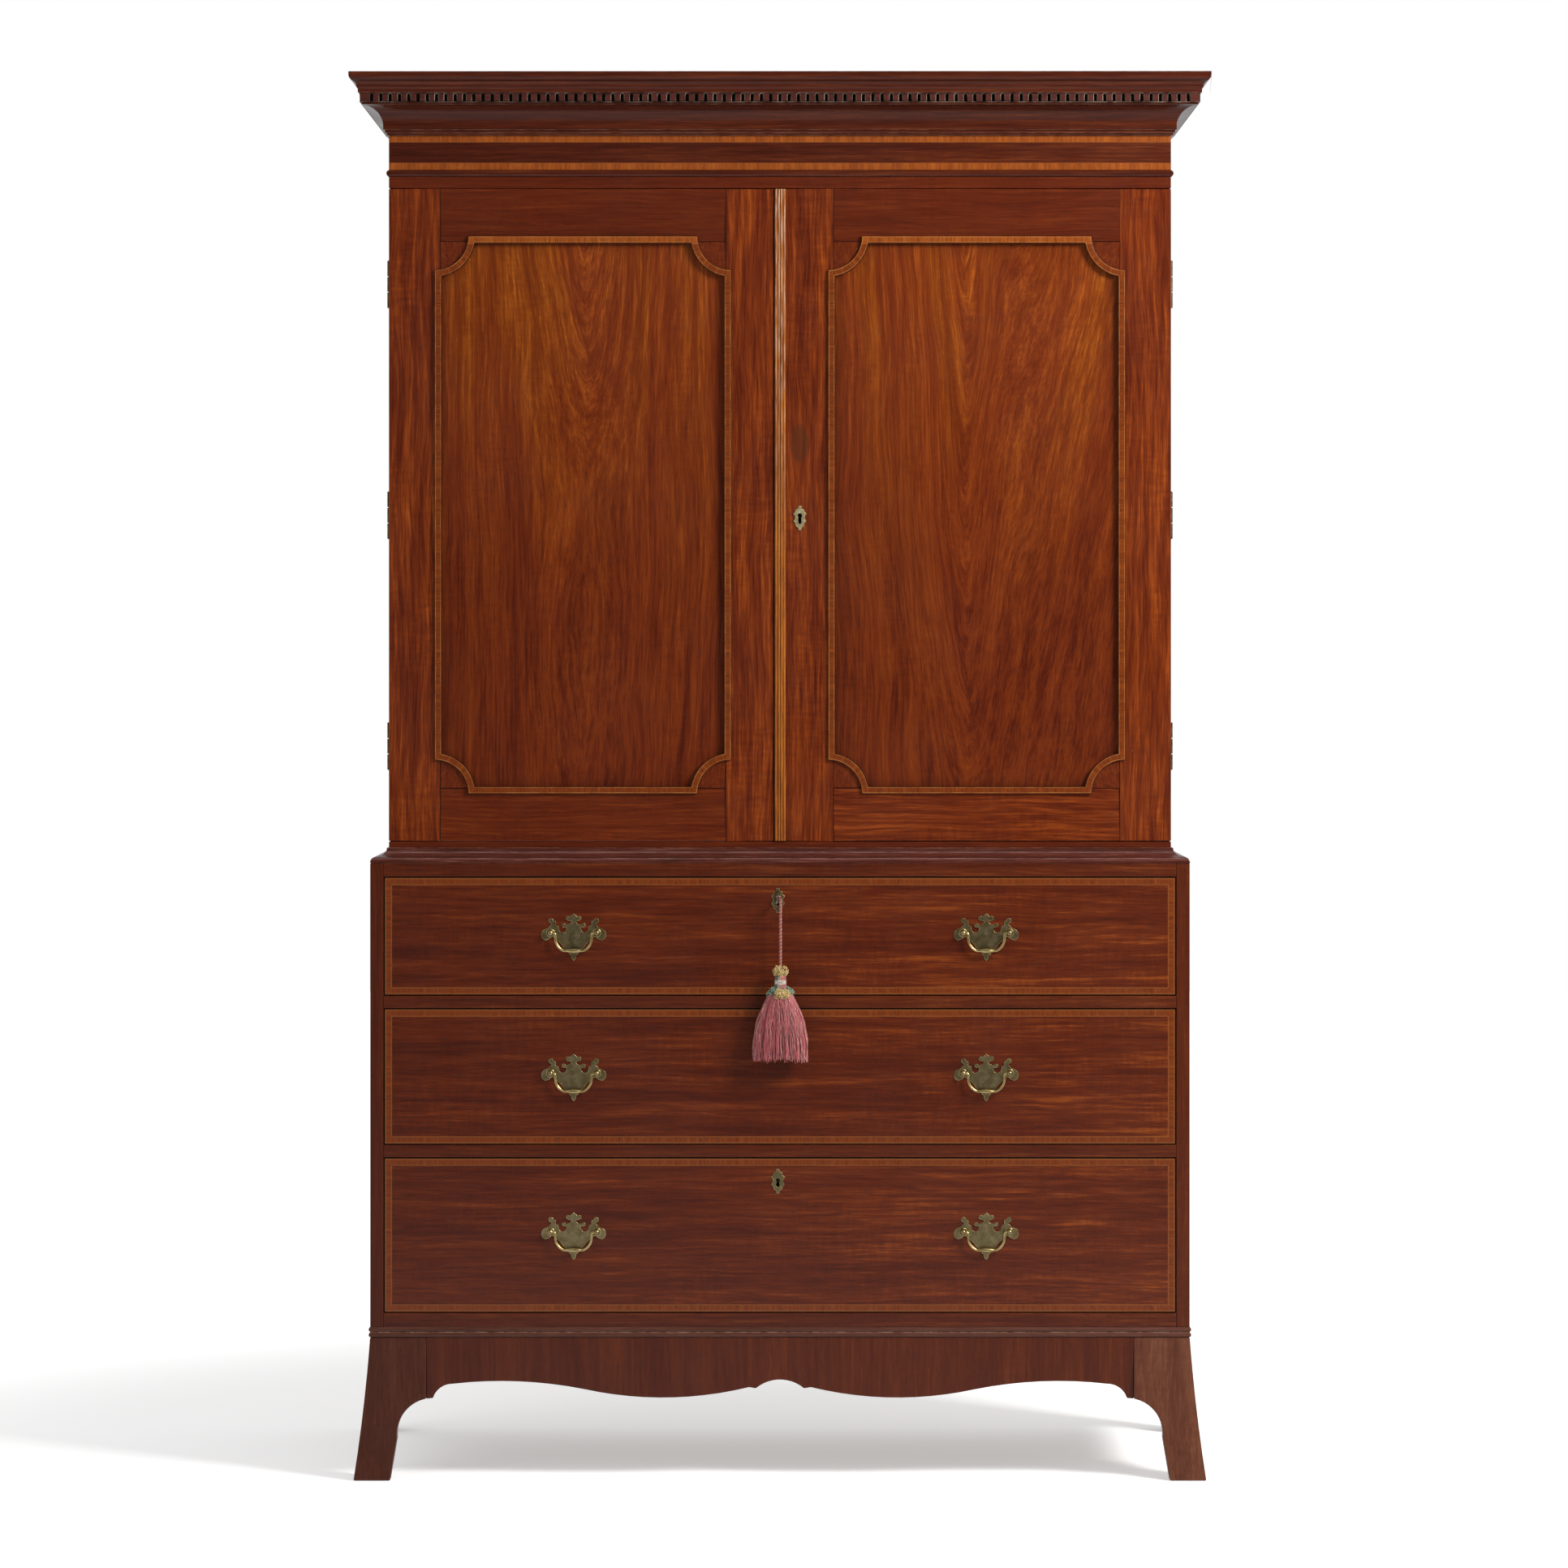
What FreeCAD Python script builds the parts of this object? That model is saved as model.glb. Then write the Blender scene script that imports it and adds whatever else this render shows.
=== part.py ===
import FreeCAD, Part
import math
import os
import Sketcher
from FreeCAD import Placement, Rotation, Vector

# Linen press: a chest of three drawers on splayed bracket feet, a press with two
# panelled doors over four sliding trays, and a loose cornice with a dentil course.
# Millimetres. X to the right, Y to the back, Z up; the origin is on the floor,
# under the middle of the press.

doc = FreeCAD.newDocument("LinenPress")
sheet = doc.addObject("Spreadsheet::Sheet", "Sizes")
cells = []


class Size:
    """A length that carries its value and its formula in the sheet."""

    def __init__(self, value, formula):
        self.value = float(value)
        self.formula = formula

    def __add__(self, other):
        other = as_size(other)
        return Size(self.value + other.value, f"({self.formula} + {other.formula})")

    def __sub__(self, other):
        other = as_size(other)
        return Size(self.value - other.value, f"({self.formula} - {other.formula})")

    def __mul__(self, other):
        other = as_size(other)
        return Size(self.value * other.value, f"({self.formula} * {other.formula})")

    def __truediv__(self, other):
        other = as_size(other)
        return Size(self.value / other.value, f"({self.formula} / {other.formula})")

    def __neg__(self):
        return as_size(0) - self

    def __radd__(self, other):
        return as_size(other) + self

    def __rsub__(self, other):
        return as_size(other) - self

    def __rmul__(self, other):
        return as_size(other) * self


def as_size(number):
    if isinstance(number, Size):
        return number
    return Size(number, f"({float(number)!r})")


def root(size):
    return Size(math.sqrt(size.value), f"sqrt({size.formula})")


def next_cell(name):
    cells.append(name)
    sheet.set(f"A{len(cells)}", name)
    return f"B{len(cells)}"


def driving(name, value):
    """A size that is set by hand."""
    cell = next_cell(name)
    sheet.set(cell, str(value))
    sheet.setAlias(cell, name)
    return Size(value, f"Sizes.{name}")


def derived(name, size):
    """A size that follows from others, kept in the sheet under its own name."""
    cell = next_cell(name)
    sheet.set(cell, "=" + size.formula.replace("Sizes.", ""))
    sheet.setAlias(cell, name)
    return Size(size.value, f"Sizes.{name}")


# ---------------------------------------------------------------- driving sizes

# the whole
press_width = driving("press_width", 1160)
press_height = driving("press_height", 1017)
base_depth = driving("base_depth", 560)
ledge = driving("ledge", 26)
cornice_height = driving("cornice_height", 151)
cornice_overhang = driving("cornice_overhang", 56)
bead_height = driving("bead_height", 10)
crown_height = driving("crown_height", 90)
foot_height = driving("foot_height", 209)

# boards
side_board = driving("side_board", 20)
back_board = driving("back_board", 12)
floor_board = driving("floor_board", 18)

# base
base_moulding_height = driving("base_moulding_height", 15)
bottom_rail = driving("bottom_rail", 21)
drawer_rail = driving("drawer_rail", 18.5)
top_rail = driving("top_rail", 20)
rail_depth = driving("rail_depth", 45)
opening_1 = driving("opening_1", 176)
opening_2 = driving("opening_2", 202)
opening_3 = driving("opening_3", 230)
waist_height = driving("waist_height", 22)

# drawers
drawer_gap = driving("drawer_gap", 1.2)
running_gap = driving("running_gap", 0.4)
front_thickness = driving("front_thickness", 22)
drawer_side = driving("drawer_side", 11)
drawer_bottom = driving("drawer_bottom", 8)
drawer_bottom_rise = driving("drawer_bottom_rise", 8)
drawer_back_space = driving("drawer_back_space", 15)
side_drop = driving("side_drop", 8)
runner_width = driving("runner_width", 34)
stop_offset = driving("stop_offset", 280)
stop_width = driving("stop_width", 40)
stop_height = driving("stop_height", 5)

# press and doors
press_bottom_rail = driving("press_bottom_rail", 31)
press_top_rail = driving("press_top_rail", 17)
door_thickness = driving("door_thickness", 22)
door_gap = driving("door_gap", 1)
door_stop = driving("door_stop", 3)
meeting_gap = driving("meeting_gap", 1.4)
meeting_line = driving("meeting_line", -7.8)
bead_width = driving("bead_width", 16.2)
outer_stile = driving("outer_stile", 76)
inner_stile = driving("inner_stile", 71)
door_rail = driving("door_rail", 78)
panel_thickness = driving("panel_thickness", 8)
panel_depth = driving("panel_depth", 4)
moulding_width = driving("moulding_width", 11)
moulding_lap = driving("moulding_lap", 8)
moulding_relief = driving("moulding_relief", 4)
moulding_corner = driving("moulding_corner", 50)

# linen slides
slide_height = driving("slide_height", 105)
slide_wall = driving("slide_wall", 12)
slide_gap = driving("slide_gap", 3)
slide_setback = driving("slide_setback", 13)
slide_first = driving("slide_first", 22)
slide_pitch = driving("slide_pitch", 236)
slide_back_space = driving("slide_back_space", 8)
slide_floor_board = driving("slide_floor_board", 8)
scoop_depth = driving("scoop_depth", 45)
cleat = driving("cleat", 14)

# feet
foot_splay = driving("foot_splay", 23)
splay_radius = driving("splay_radius", 2600)
foot_stock = driving("foot_stock", 24)
foot_wing = driving("foot_wing", 83)
ankle = driving("ankle", 54)
foot_block = driving("foot_block", 16)
wing_level = driving("wing_level", 118)
apron_stock = driving("apron_stock", 20)

# dentil course
dentil_pitch = driving("dentil_pitch", 13.7)
dentil_slot = driving("dentil_slot", 5.2)
dentil_face = driving("dentil_face", 40.5)
dentil_back = driving("dentil_back", 32)
dentil_web = driving("dentil_web", 2.5)
dentil_lip = driving("dentil_lip", 0.8)

# ironmongery
knuckle = driving("knuckle", 3.5)
knuckle_gap = driving("knuckle_gap", 0.4)
pin_radius = driving("pin_radius", 1.5)
pin_gap = driving("pin_gap", 0.2)
hinge_length = driving("hinge_length", 70)
hinge_inset = driving("hinge_inset", 140)
leaf = driving("leaf", 2)
leaf_width = driving("leaf_width", 18)
bolt_travel = driving("bolt_travel", 13)
bolt_x = driving("bolt_x", -44)
bolt_size = driving("bolt_size", 6)
bolt_play = driving("bolt_play", 0.4)
bolt_plate_length = driving("bolt_plate_length", 107)
bolt_plate_margin = driving("bolt_plate_margin", 7)
bolt_staple = driving("bolt_staple", 12)
handle_spread = driving("handle_spread", 305)
handle_rise = driving("handle_rise", 5)
post_spread = driving("post_spread", 34.3)
plate_width = driving("plate_width", 95.6)
plate_thickness = driving("plate_thickness", 1.6)
bail_reach = driving("bail_reach", 7.5)
bail_radius = driving("bail_radius", 1.9)
post_head = driving("post_head", 4.5)
post_radius = driving("post_radius", 2.5)
post_hole = driving("post_hole", 2.6)
post_collar = driving("post_collar", 4.2)
nut_radius = driving("nut_radius", 6)
nut_height = driving("nut_height", 4)
lock_width = driving("lock_width", 64)
lock_drop = driving("lock_drop", 34)
lock_throw = driving("lock_throw", 8)
lock_depth = driving("lock_depth", 12)
lock_height = driving("lock_height", 50)
lock_bolt_half = driving("lock_bolt_half", 9)
lock_bolt_thickness = driving("lock_bolt_thickness", 6)
door_lock_height = driving("door_lock_height", 84)
door_bolt_half = driving("door_bolt_half", 8)
door_bolt_length = driving("door_bolt_length", 25.5)
ward_radius = driving("ward_radius", 9)
bolt_gap = driving("bolt_gap", 0.5)
key_x = driving("key_x", -3)
key_radius = driving("key_radius", 2.6)
bow_radius = driving("bow_radius", 7.3)
bow_wire = driving("bow_wire", 1.5)
tassel_width = driving("tassel_width", 82)
tassel_length = driving("tassel_length", 141)
cord_radius = driving("cord_radius", 2.4)
cord_length = driving("cord_length", 103)

# ---------------------------------------------------------------- derived sizes

base_width = derived("base_width", press_width + 2 * ledge)
overall_depth = derived("overall_depth", base_depth - ledge + cornice_overhang)
back = derived("back", overall_depth / 2)
base_front = derived("base_front", back - base_depth)
press_front = derived("press_front", base_front + ledge)
door_back = derived("door_back", press_front + door_thickness)
press_inside_front = derived("press_inside_front", door_back + door_gap)
inner_half = derived("inner_half", press_width / 2 - side_board)
base_inner_half = derived("base_inner_half", base_width / 2 - side_board)

base_bottom = derived("base_bottom", foot_height + base_moulding_height)
floor_3 = derived("floor_3", base_bottom + bottom_rail)
floor_2 = derived("floor_2", floor_3 + opening_3 + drawer_rail)
floor_1 = derived("floor_1", floor_2 + opening_2 + drawer_rail)
base_top = derived("base_top", floor_1 + opening_1 + top_rail)
press_top = derived("press_top", base_top + press_height)
door_bottom = derived("door_bottom", base_top + press_bottom_rail + drawer_gap)
door_top = derived("door_top", press_top - press_top_rail - drawer_gap)
total_height = derived("total_height", press_top + cornice_height)
press_floor = derived("press_floor", door_bottom + door_stop)
press_ceiling = derived("press_ceiling", door_top - door_stop)
frieze_low = derived("frieze_low", press_top + bead_height)
crown_low = derived("crown_low", total_height - crown_height)
dentil_low = derived("dentil_low", total_height - 44)
dentil_high = derived("dentil_high", total_height - 30)

drawer_floors = (floor_1, floor_2, floor_3)
drawer_openings = (opening_1, opening_2, opening_3)

hinge_x = derived("hinge_x", press_width / 2 + 0.4)
hinge_y = derived("hinge_y", door_back + door_gap / 2)
post_y = derived("post_y", base_front - plate_thickness - bail_reach)
DOOR_EYE_RISE = 3.5  # from the middle of a keyhole plate up to its keyhole's round eye
DRAWER_EYE_RISE = 1.5
key_z = derived("key_z", floor_1 + opening_1 - drawer_gap - lock_drop + DRAWER_EYE_RISE)
door_lock_z = derived("door_lock_z", (door_bottom + door_top) / 2 - 4.5)
door_lock_x = derived("door_lock_x", meeting_line + bead_width + 21)
cord_x = derived("cord_x", key_x + 3.8)
cord_y = derived("cord_y", base_front - 24)

doc.recompute()

# ---------------------------------------------------------------- ways of making

PAST = 1  # how far a cutting tool runs past the face that it cuts
NEARLY_ROUND = 1.02  # the radius of an arc that is just short of a half circle, to half its chord

SKETCH_TURNS = {
    "x": Rotation(0.5, 0.5, 0.5, 0.5),
    "y": Rotation(Vector(1, 0, 0), 90),
    "z": Rotation(),
}
AXES = {"x": Vector(1, 0, 0), "y": Vector(0, 1, 0), "z": Vector(0, 0, 1)}
CYLINDER_TURNS = {
    "x": Rotation(Vector(0, 1, 0), 90),
    "y": Rotation(Vector(1, 0, 0), -90),
    "z": Rotation(),
}


def bind(item, prop, size):
    item.setExpression(prop, as_size(size).formula)


def put(item, x=0, y=0, z=0):
    """Bind the place of an object to sizes."""
    for axis, size in zip("xyz", (x, y, z)):
        bind(item, f"Placement.Base.{axis}", size)
    return item


def box(name, x, y, z):
    """A board between a low and a high size on each axis."""
    piece = doc.addObject("Part::Box", name)
    for prop, (low, high) in zip(("Length", "Width", "Height"), (x, y, z)):
        bind(piece, prop, as_size(high) - low)
    return put(piece, x[0], y[0], z[0])


def both(low, high):
    """The same stretch on the left and on the right."""
    return ((-as_size(high), -as_size(low)), (low, high))


def rod(name, axis, radius, centre, low, high):
    """A cylinder along an axis, centred on the other two axes."""
    piece = doc.addObject("Part::Cylinder", name)
    piece.Placement = Placement(Vector(), CYLINDER_TURNS[axis])
    bind(piece, "Radius", radius)
    bind(piece, "Height", as_size(high) - low)
    places = dict(zip("xyz".replace(axis, ""), centre))
    places[axis] = low
    return put(piece, places["x"], places["y"], places["z"])


def arc_between(start, end, radius, side):
    """The short arc from start to end with its centre on the left (1) or right (-1)."""
    chord = end - start
    half = chord.Length / 2
    across = Vector(-chord.y, chord.x, 0).normalize()
    rise = math.sqrt(max(radius * radius - half * half, 0))
    centre = (start + end) / 2 + across * (side * rise)
    first, last = (start, end) if side > 0 else (end, start)
    angles = [math.atan2(p.y - centre.y, p.x - centre.x) for p in (first, last)]
    return Part.ArcOfCircle(Part.Circle(centre, Vector(0, 0, 1), radius), *angles)


def draw(sketch, corners):
    """Draw a closed outline. A corner is (u, v), or (u, v, radius, side) where an arc leaves it."""
    points = [Vector(as_size(c[0]).value, as_size(c[1]).value, 0) for c in corners]
    edges, ends, rules, sizes = [], [], [], []
    for number, corner in enumerate(corners):
        start, end = points[number], points[(number + 1) % len(points)]
        if len(corner) == 2:
            ends.append((1, 2))
            edges.append(Part.LineSegment(start, end))
            continue
        radius, side = as_size(corner[2]), corner[3]
        ends.append((1, 2) if side > 0 else (2, 1))
        edges.append(arc_between(start, end, radius.value, side))
        rules.append(Sketcher.Constraint("Radius", number, radius.value))
        sizes.append(radius)
    for number, corner in enumerate(corners):
        for kind, size in (("DistanceX", corner[0]), ("DistanceY", corner[1])):
            size = as_size(size)
            rules.append(Sketcher.Constraint(kind, -1, 1, number, ends[number][0], size.value))
            sizes.append(size)
    for number in range(len(corners)):
        after = (number + 1) % len(corners)
        rules.append(Sketcher.Constraint("Coincident", number, ends[number][1], after, ends[after][0]))
    sketch.addGeometry(edges, False)
    sketch.addConstraint(rules)
    for number, size in enumerate(sizes):
        bind(sketch, f"Constraints[{number}]", size)
    return sketch


def outline(name, axis, corners, at=0):
    """A closed sketch across an axis: (x, z) across y, (y, z) across x, (x, y) across z."""
    sketch = doc.addObject("Sketcher::SketchObject", name)
    sketch.Placement = Placement(Vector(), SKETCH_TURNS[axis])
    bind(sketch, f"Placement.Base.{axis}", at)
    return draw(sketch, corners)


def prism(name, axis, corners, low, high):
    """An outline made solid from low to high along its axis."""
    piece = doc.addObject("Part::Extrusion", name)
    piece.Base = outline(name + "_outline", axis, corners, low)
    piece.DirMode = "Custom"
    piece.Dir = AXES[axis]
    piece.Solid = True
    bind(piece, "LengthFwd", as_size(high) - low)
    return piece


def group(name, pieces):
    whole = doc.addObject("Part::Compound", name)
    whole.Links = pieces
    return whole


def cut(name, base, tools):
    piece = doc.addObject("Part::Cut", name)
    piece.Base = base
    piece.Tool = tools[0] if len(tools) == 1 else group(name + "_tools", tools)
    return piece


def fuse(name, pieces):
    piece = doc.addObject("Part::MultiFuse", name)
    piece.Shapes = pieces
    return piece


def common(name, pieces):
    piece = doc.addObject("Part::MultiCommon", name)
    piece.Shapes = pieces
    return piece


def mirror(name, source, normal, base=(0, 0, 0)):
    piece = doc.addObject("Part::Mirroring", name)
    piece.Source = source
    piece.Normal = Vector(*normal)
    for axis, size in zip("xyz", base):
        bind(piece, f"Base.{axis}", size)
    return piece


def left_and_right(name, piece):
    return [piece, mirror(name, piece, (1, 0, 0))]


def copy_of(name, source, x=0, y=0, z=0):
    """One more of a piece that is drawn about its own origin."""
    link = doc.addObject("App::Link", name)
    link.LinkedObject = source
    link.LinkTransform = False
    return put(link, x, y, z)


nodes = {}


def node(name, pieces):
    """Name a finished sub-part, a piece or a group of pieces."""
    item = pieces[0] if len(pieces) == 1 else group(name, pieces)
    item.Label = name
    nodes[name] = item
    return item


def mirrored(bend):
    """The bend of an arc as the other hand sees it."""
    return (bend[0], -bend[1]) if bend else ()


MITRE_SPAN = 400  # how far up and down a mitre is cut from a moulding's first corner


def mitred_runs(name, profile, half_width, face, reach, end=None):
    """A moulding along the front and both sides, mitred at the front corners.

    profile lists (out, z) from a face at y = face and x = half_width; reach is
    how far the mitres have to run out from the face and in behind it.
    """
    end = back if end is None else end
    out, within = reach
    front_profile = [(face - c[0], c[1]) + mirrored(c[2:]) for c in profile]
    side_profile = [(half_width + c[0], c[1]) + tuple(c[2:]) for c in profile]
    front_run = prism(name + "_front_run", "x", front_profile, -half_width - out, half_width + out)
    front_plan = [
        (-half_width - out, face - out),
        (half_width + out, face - out),
        (half_width - within, face + within),
        (-half_width + within, face + within),
    ]
    level = as_size(profile[0][1])
    low, high = level - MITRE_SPAN, level + MITRE_SPAN
    front = common(name + "_front", [front_run, prism(name + "_front_mitre", "z", front_plan, low, high)])
    side_run = prism(name + "_side_run", "y", side_profile, face - out, end)
    side_plan = [
        (half_width + out, face - out),
        (half_width + out, end),
        (half_width - within, end),
        (half_width - within, face + within),
    ]
    side = common(name + "_side", [side_run, prism(name + "_side_mitre", "z", side_plan, low, high)])
    return [front] + left_and_right(name + "_left_side", side)


# ---------------------------------------------------------------- base carcase

def base_carcase():
    sides = [
        box(f"base_side_{n}", x, (base_front, back), (base_bottom, base_top))
        for n, x in enumerate(both(base_inner_half, base_width / 2))
    ]
    node("base_sides", sides)

    behind_rail = base_front + rail_depth
    inside_back = back - back_board
    across = (-base_inner_half, base_inner_half)
    node("base_boards", [
        box("base_floor", across, (behind_rail, inside_back), (base_bottom, base_bottom + floor_board)),
        box("base_lid", across, (behind_rail, inside_back), (base_top - floor_board, base_top)),
    ])

    rails = []
    levels = ((base_bottom, floor_3), (floor_3 + opening_3, floor_2),
              (floor_2 + opening_2, floor_1), (floor_1 + opening_1, base_top))
    for n, level in enumerate(levels):
        rails.append(box(f"rail_{n}", across, (base_front, behind_rail), level))
    for n, low in ((1, floor_3 + opening_3), (3, floor_1 + opening_1)):
        rails[n] = cut(f"rail_{n}_mortised", rails[n], [lock_mortise(f"rail_{n}_mortise", low)])
    node("drawer_rails", rails)

    runners = []
    for n, floor in enumerate(drawer_floors):
        below = floor - drawer_rail
        if floor is floor_3:
            below = base_bottom + floor_board
        for side, x in enumerate(both(base_inner_half - runner_width, base_inner_half)):
            runners.append(box(f"runner_{n}_{side}", x, (behind_rail, inside_back), (below, floor)))
        stop = base_front + front_thickness + running_gap
        for side, x in enumerate(both(stop_offset, stop_offset + stop_width)):
            runners.append(box(f"stop_{n}_{side}", x, (stop, behind_rail), (floor, floor + stop_height)))
    node("drawer_runners", runners)

    node("base_back_boards", back_boards("base_back", base_inner_half, base_bottom, base_top, 4))


def lock_mortise(name, low):
    """Where a lock bolt enters the rail over its drawer."""
    half, deep = lock_bolt_half + bolt_gap, lock_bolt_thickness / 2 + bolt_gap
    middle = base_front + front_thickness - lock_depth / 2
    level = (low - PAST, low + lock_throw + 2)
    return box(name, (key_x - half, key_x + half), (middle - deep, middle + deep), level)


def back_boards(name, half, low, high, count):
    width = 2 * half / count
    return [
        box(f"{name}_{n}", (width * n - half, width * (n + 1) - half), (back - back_board, back), (low, high))
        for n in range(count)
    ]


def base_mouldings():
    waist = [
        (0, base_top),
        (ledge, base_top),
        (ledge, base_top + 2.5, 8, 1),
        (ledge - 8, base_top + 9),
        (ledge - 11, base_top + 10, 13, -1),
        (3, base_top + waist_height - 2.5),
        (3, base_top + waist_height),
        (0, base_top + waist_height),
    ]
    node("waist_moulding", mitred_runs("waist", waist, press_width / 2, press_front, (ledge + 10, 0)))

    low, middle, high = foot_height, foot_height + base_moulding_height / 2, base_bottom
    beads = [
        (-rail_depth, low),
        (0, low, 4, 1),
        (0, middle - 0.5),
        (0, middle + 0.5, 4, 1),
        (0, high),
        (-rail_depth, high),
    ]
    node("base_moulding", mitred_runs("plinth", beads, base_width / 2, base_front, (10, rail_depth)))


# ---------------------------------------------------------------- feet and aprons

def foot_outline(corner, hand, splay):
    """A bracket foot seen square on: its outer edge at corner, its wing to the inside."""
    wing_end = corner + hand * foot_wing
    toe = corner - hand * splay
    heel = toe + hand * ankle
    return [
        (corner, foot_height, splay_radius, -hand) if splay else (corner, foot_height),
        (toe, 0),
        (heel, 0),
        (heel + hand * 10, 62, 52, -hand),
        (wing_end - hand * 3, wing_level),
        (wing_end, wing_level),
        (wing_end, foot_height),
    ]


def splay_profile(corner, hand):
    """The thickness of a splayed bracket, seen along its length."""
    inner = corner + hand * foot_stock
    return [
        (corner, foot_height, splay_radius, -hand),
        (corner - hand * foot_splay, 0),
        (inner - hand * foot_splay, 0, splay_radius, hand),
        (inner, foot_height),
    ]


GLUE_BLOCK_LOW = 105  # from the floor to the front feet's glue blocks
REAR_BOARD_LOW = 72  # from the floor to the rear feet's back boards


def feet():
    corner_x = -(base_width / 2)
    far = foot_splay + 40
    face_outline = foot_outline(corner_x, 1, foot_splay)
    front_face = prism("foot_face", "y", face_outline, base_front - far, base_front + foot_stock)
    front_splay = prism("foot_splay", "x", splay_profile(base_front, 1), corner_x - far, corner_x + foot_wing)
    mitre = prism("foot_mitre", "z", [
        (corner_x - far, base_front - far),
        (corner_x + foot_wing, base_front - far),
        (corner_x + foot_wing, base_front + foot_wing),
    ], 0, foot_height)
    bracket = common("foot_bracket_front", [front_face, front_splay, mitre])
    side_bracket = mirror("foot_bracket_side", bracket, (1, -1, 0), (corner_x, base_front, 0))
    near_x, near_y = corner_x + foot_stock, base_front + foot_stock
    block = box("foot_glue_block", (near_x, near_x + foot_block), (near_y, near_y + foot_block),
                (GLUE_BLOCK_LOW, foot_height))
    left = group("left_front_foot", [bracket, side_bracket, block])
    node("front_feet", left_and_right("right_front_foot", left))

    rear_face = prism("rear_foot_face", "x", foot_outline(back, -1, 0), corner_x - far, corner_x + foot_stock)
    rear_splay = prism("rear_foot_splay", "y", splay_profile(corner_x, 1), back - foot_wing, back)
    rear_bracket = common("rear_foot_bracket", [rear_face, rear_splay])
    inner = corner_x + foot_stock + 0.3
    whole_board = prism("rear_foot_whole_board", "y", [
        (inner, foot_height, splay_radius, -1),
        (inner - foot_splay, 0),
        (inner - foot_splay + ankle, 0),
        (inner + 24, 110),
        (inner + foot_wing, 135),
        (inner + foot_wing, foot_height),
    ], back - apron_stock, back)
    rear_board = common("rear_foot_board", [whole_board, box(
        "rear_foot_board_reach", (inner - far, inner + foot_wing + 1), (back - apron_stock - 1, back + 1),
        (REAR_BOARD_LOW, foot_height + 1))])
    left_rear = group("left_rear_foot", [rear_bracket, rear_board])
    node("rear_feet", left_and_right("right_rear_foot", left_rear))


def aprons():
    """The shaped boards between the feet: long double arches with a small arch in the middle."""
    wing = base_width / 2 - foot_wing
    half = [
        (-wing, foot_height),
        (-wing, wing_level),
        (-wing + 10, wing_level + 1, 30, -1),
        (-wing + 39, 140, 634, -1),
        (-wing * 0.5526, 132, 540, 1),
        (-45.8, 135),
        (-35.5, 133.4, 55.6, -1),
    ]
    right_half = [
        (35.5, 133.4),
        (45.8, 135, 540, 1),
        (wing * 0.5526, 132, 634, -1),
        (wing - 39, 140, 30, -1),
        (wing - 10, wing_level + 1),
        (wing, wing_level),
        (wing, foot_height),
    ]
    front = prism("apron_front", "y", half + right_half, base_front, base_front + apron_stock)
    near, far = base_front + foot_wing, back - foot_wing
    side_outline = [
        (near, foot_height),
        (near, wing_level),
        (near + 10, wing_level + 1, 30, -1),
        (near + 39, 140),
        (far - 39, 140, 30, -1),
        (far - 10, wing_level + 1),
        (far, wing_level),
        (far, foot_height),
    ]
    side = prism("apron_side", "x", side_outline, base_width / 2 - apron_stock, base_width / 2)
    node("aprons", [front] + left_and_right("apron_left_side", side))


# ---------------------------------------------------------------- press carcase

def hinge_levels():
    return (door_bottom + hinge_inset, (door_bottom + door_top) / 2, door_top - hinge_inset)


def hinge_notches(name, side, y):
    """Room for the knuckles and, from the y side, for the leaf of each hinge."""
    tools = []
    for n, level in enumerate(hinge_levels()):
        low, high = level - hinge_length / 2, level + hinge_length / 2
        notch, axis = knuckle + knuckle_gap, (side * hinge_x, hinge_y)
        tools.append(rod(f"{name}_knuckle_room_{n}", "z", notch, axis, low - 0.5, high + 0.5))
        edge, inner = side * press_width / 2, side * (press_width / 2 - leaf_width)
        x = (edge, inner) if side < 0 else (inner, edge)
        tools.append(box(f"{name}_leaf_room_{n}", x, y, (low, high)))
    return tools


def press_carcase():
    sides = []
    for side, x in zip((-1, 1), both(inner_half, press_width / 2)):
        board = box(f"press_side_{side + 1}", x, (press_inside_front, back), (base_top, press_top))
        rooms = hinge_notches(f"press_side_{side + 1}", side, (press_inside_front, press_inside_front + leaf))
        sides.append(cut(f"press_side_{side + 1}_cut", board, rooms))
    node("press_sides", sides)

    across, whole = (-inner_half, inner_half), (-press_width / 2, press_width / 2)
    inside = (press_inside_front, back - back_board)
    floor = box("press_floor_board", across, inside, (base_top, press_floor))
    lid = box("press_lid_board", across, inside, (press_ceiling, press_top))
    deep = bolt_travel + 2
    floor_room = bolt_room("floor_mortise", press_floor - deep, press_floor + PAST)
    lid_room = bolt_room("lid_mortise", press_ceiling - PAST, press_ceiling + deep)
    rail_y = (press_front, press_inside_front)
    node("press_boards", [
        cut("press_floor_mortised", floor, [floor_room]),
        cut("press_lid_mortised", lid, [lid_room]),
        box("press_rail_bottom", whole, rail_y, (base_top, base_top + press_bottom_rail)),
        box("press_rail_top", whole, rail_y, (press_top - press_top_rail, press_top)),
    ])
    node("press_back_boards", back_boards("press_back", inner_half, base_top, press_top, 5))


def slide_floor(number):
    return press_floor + slide_first + (number - 1) * slide_pitch


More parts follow.
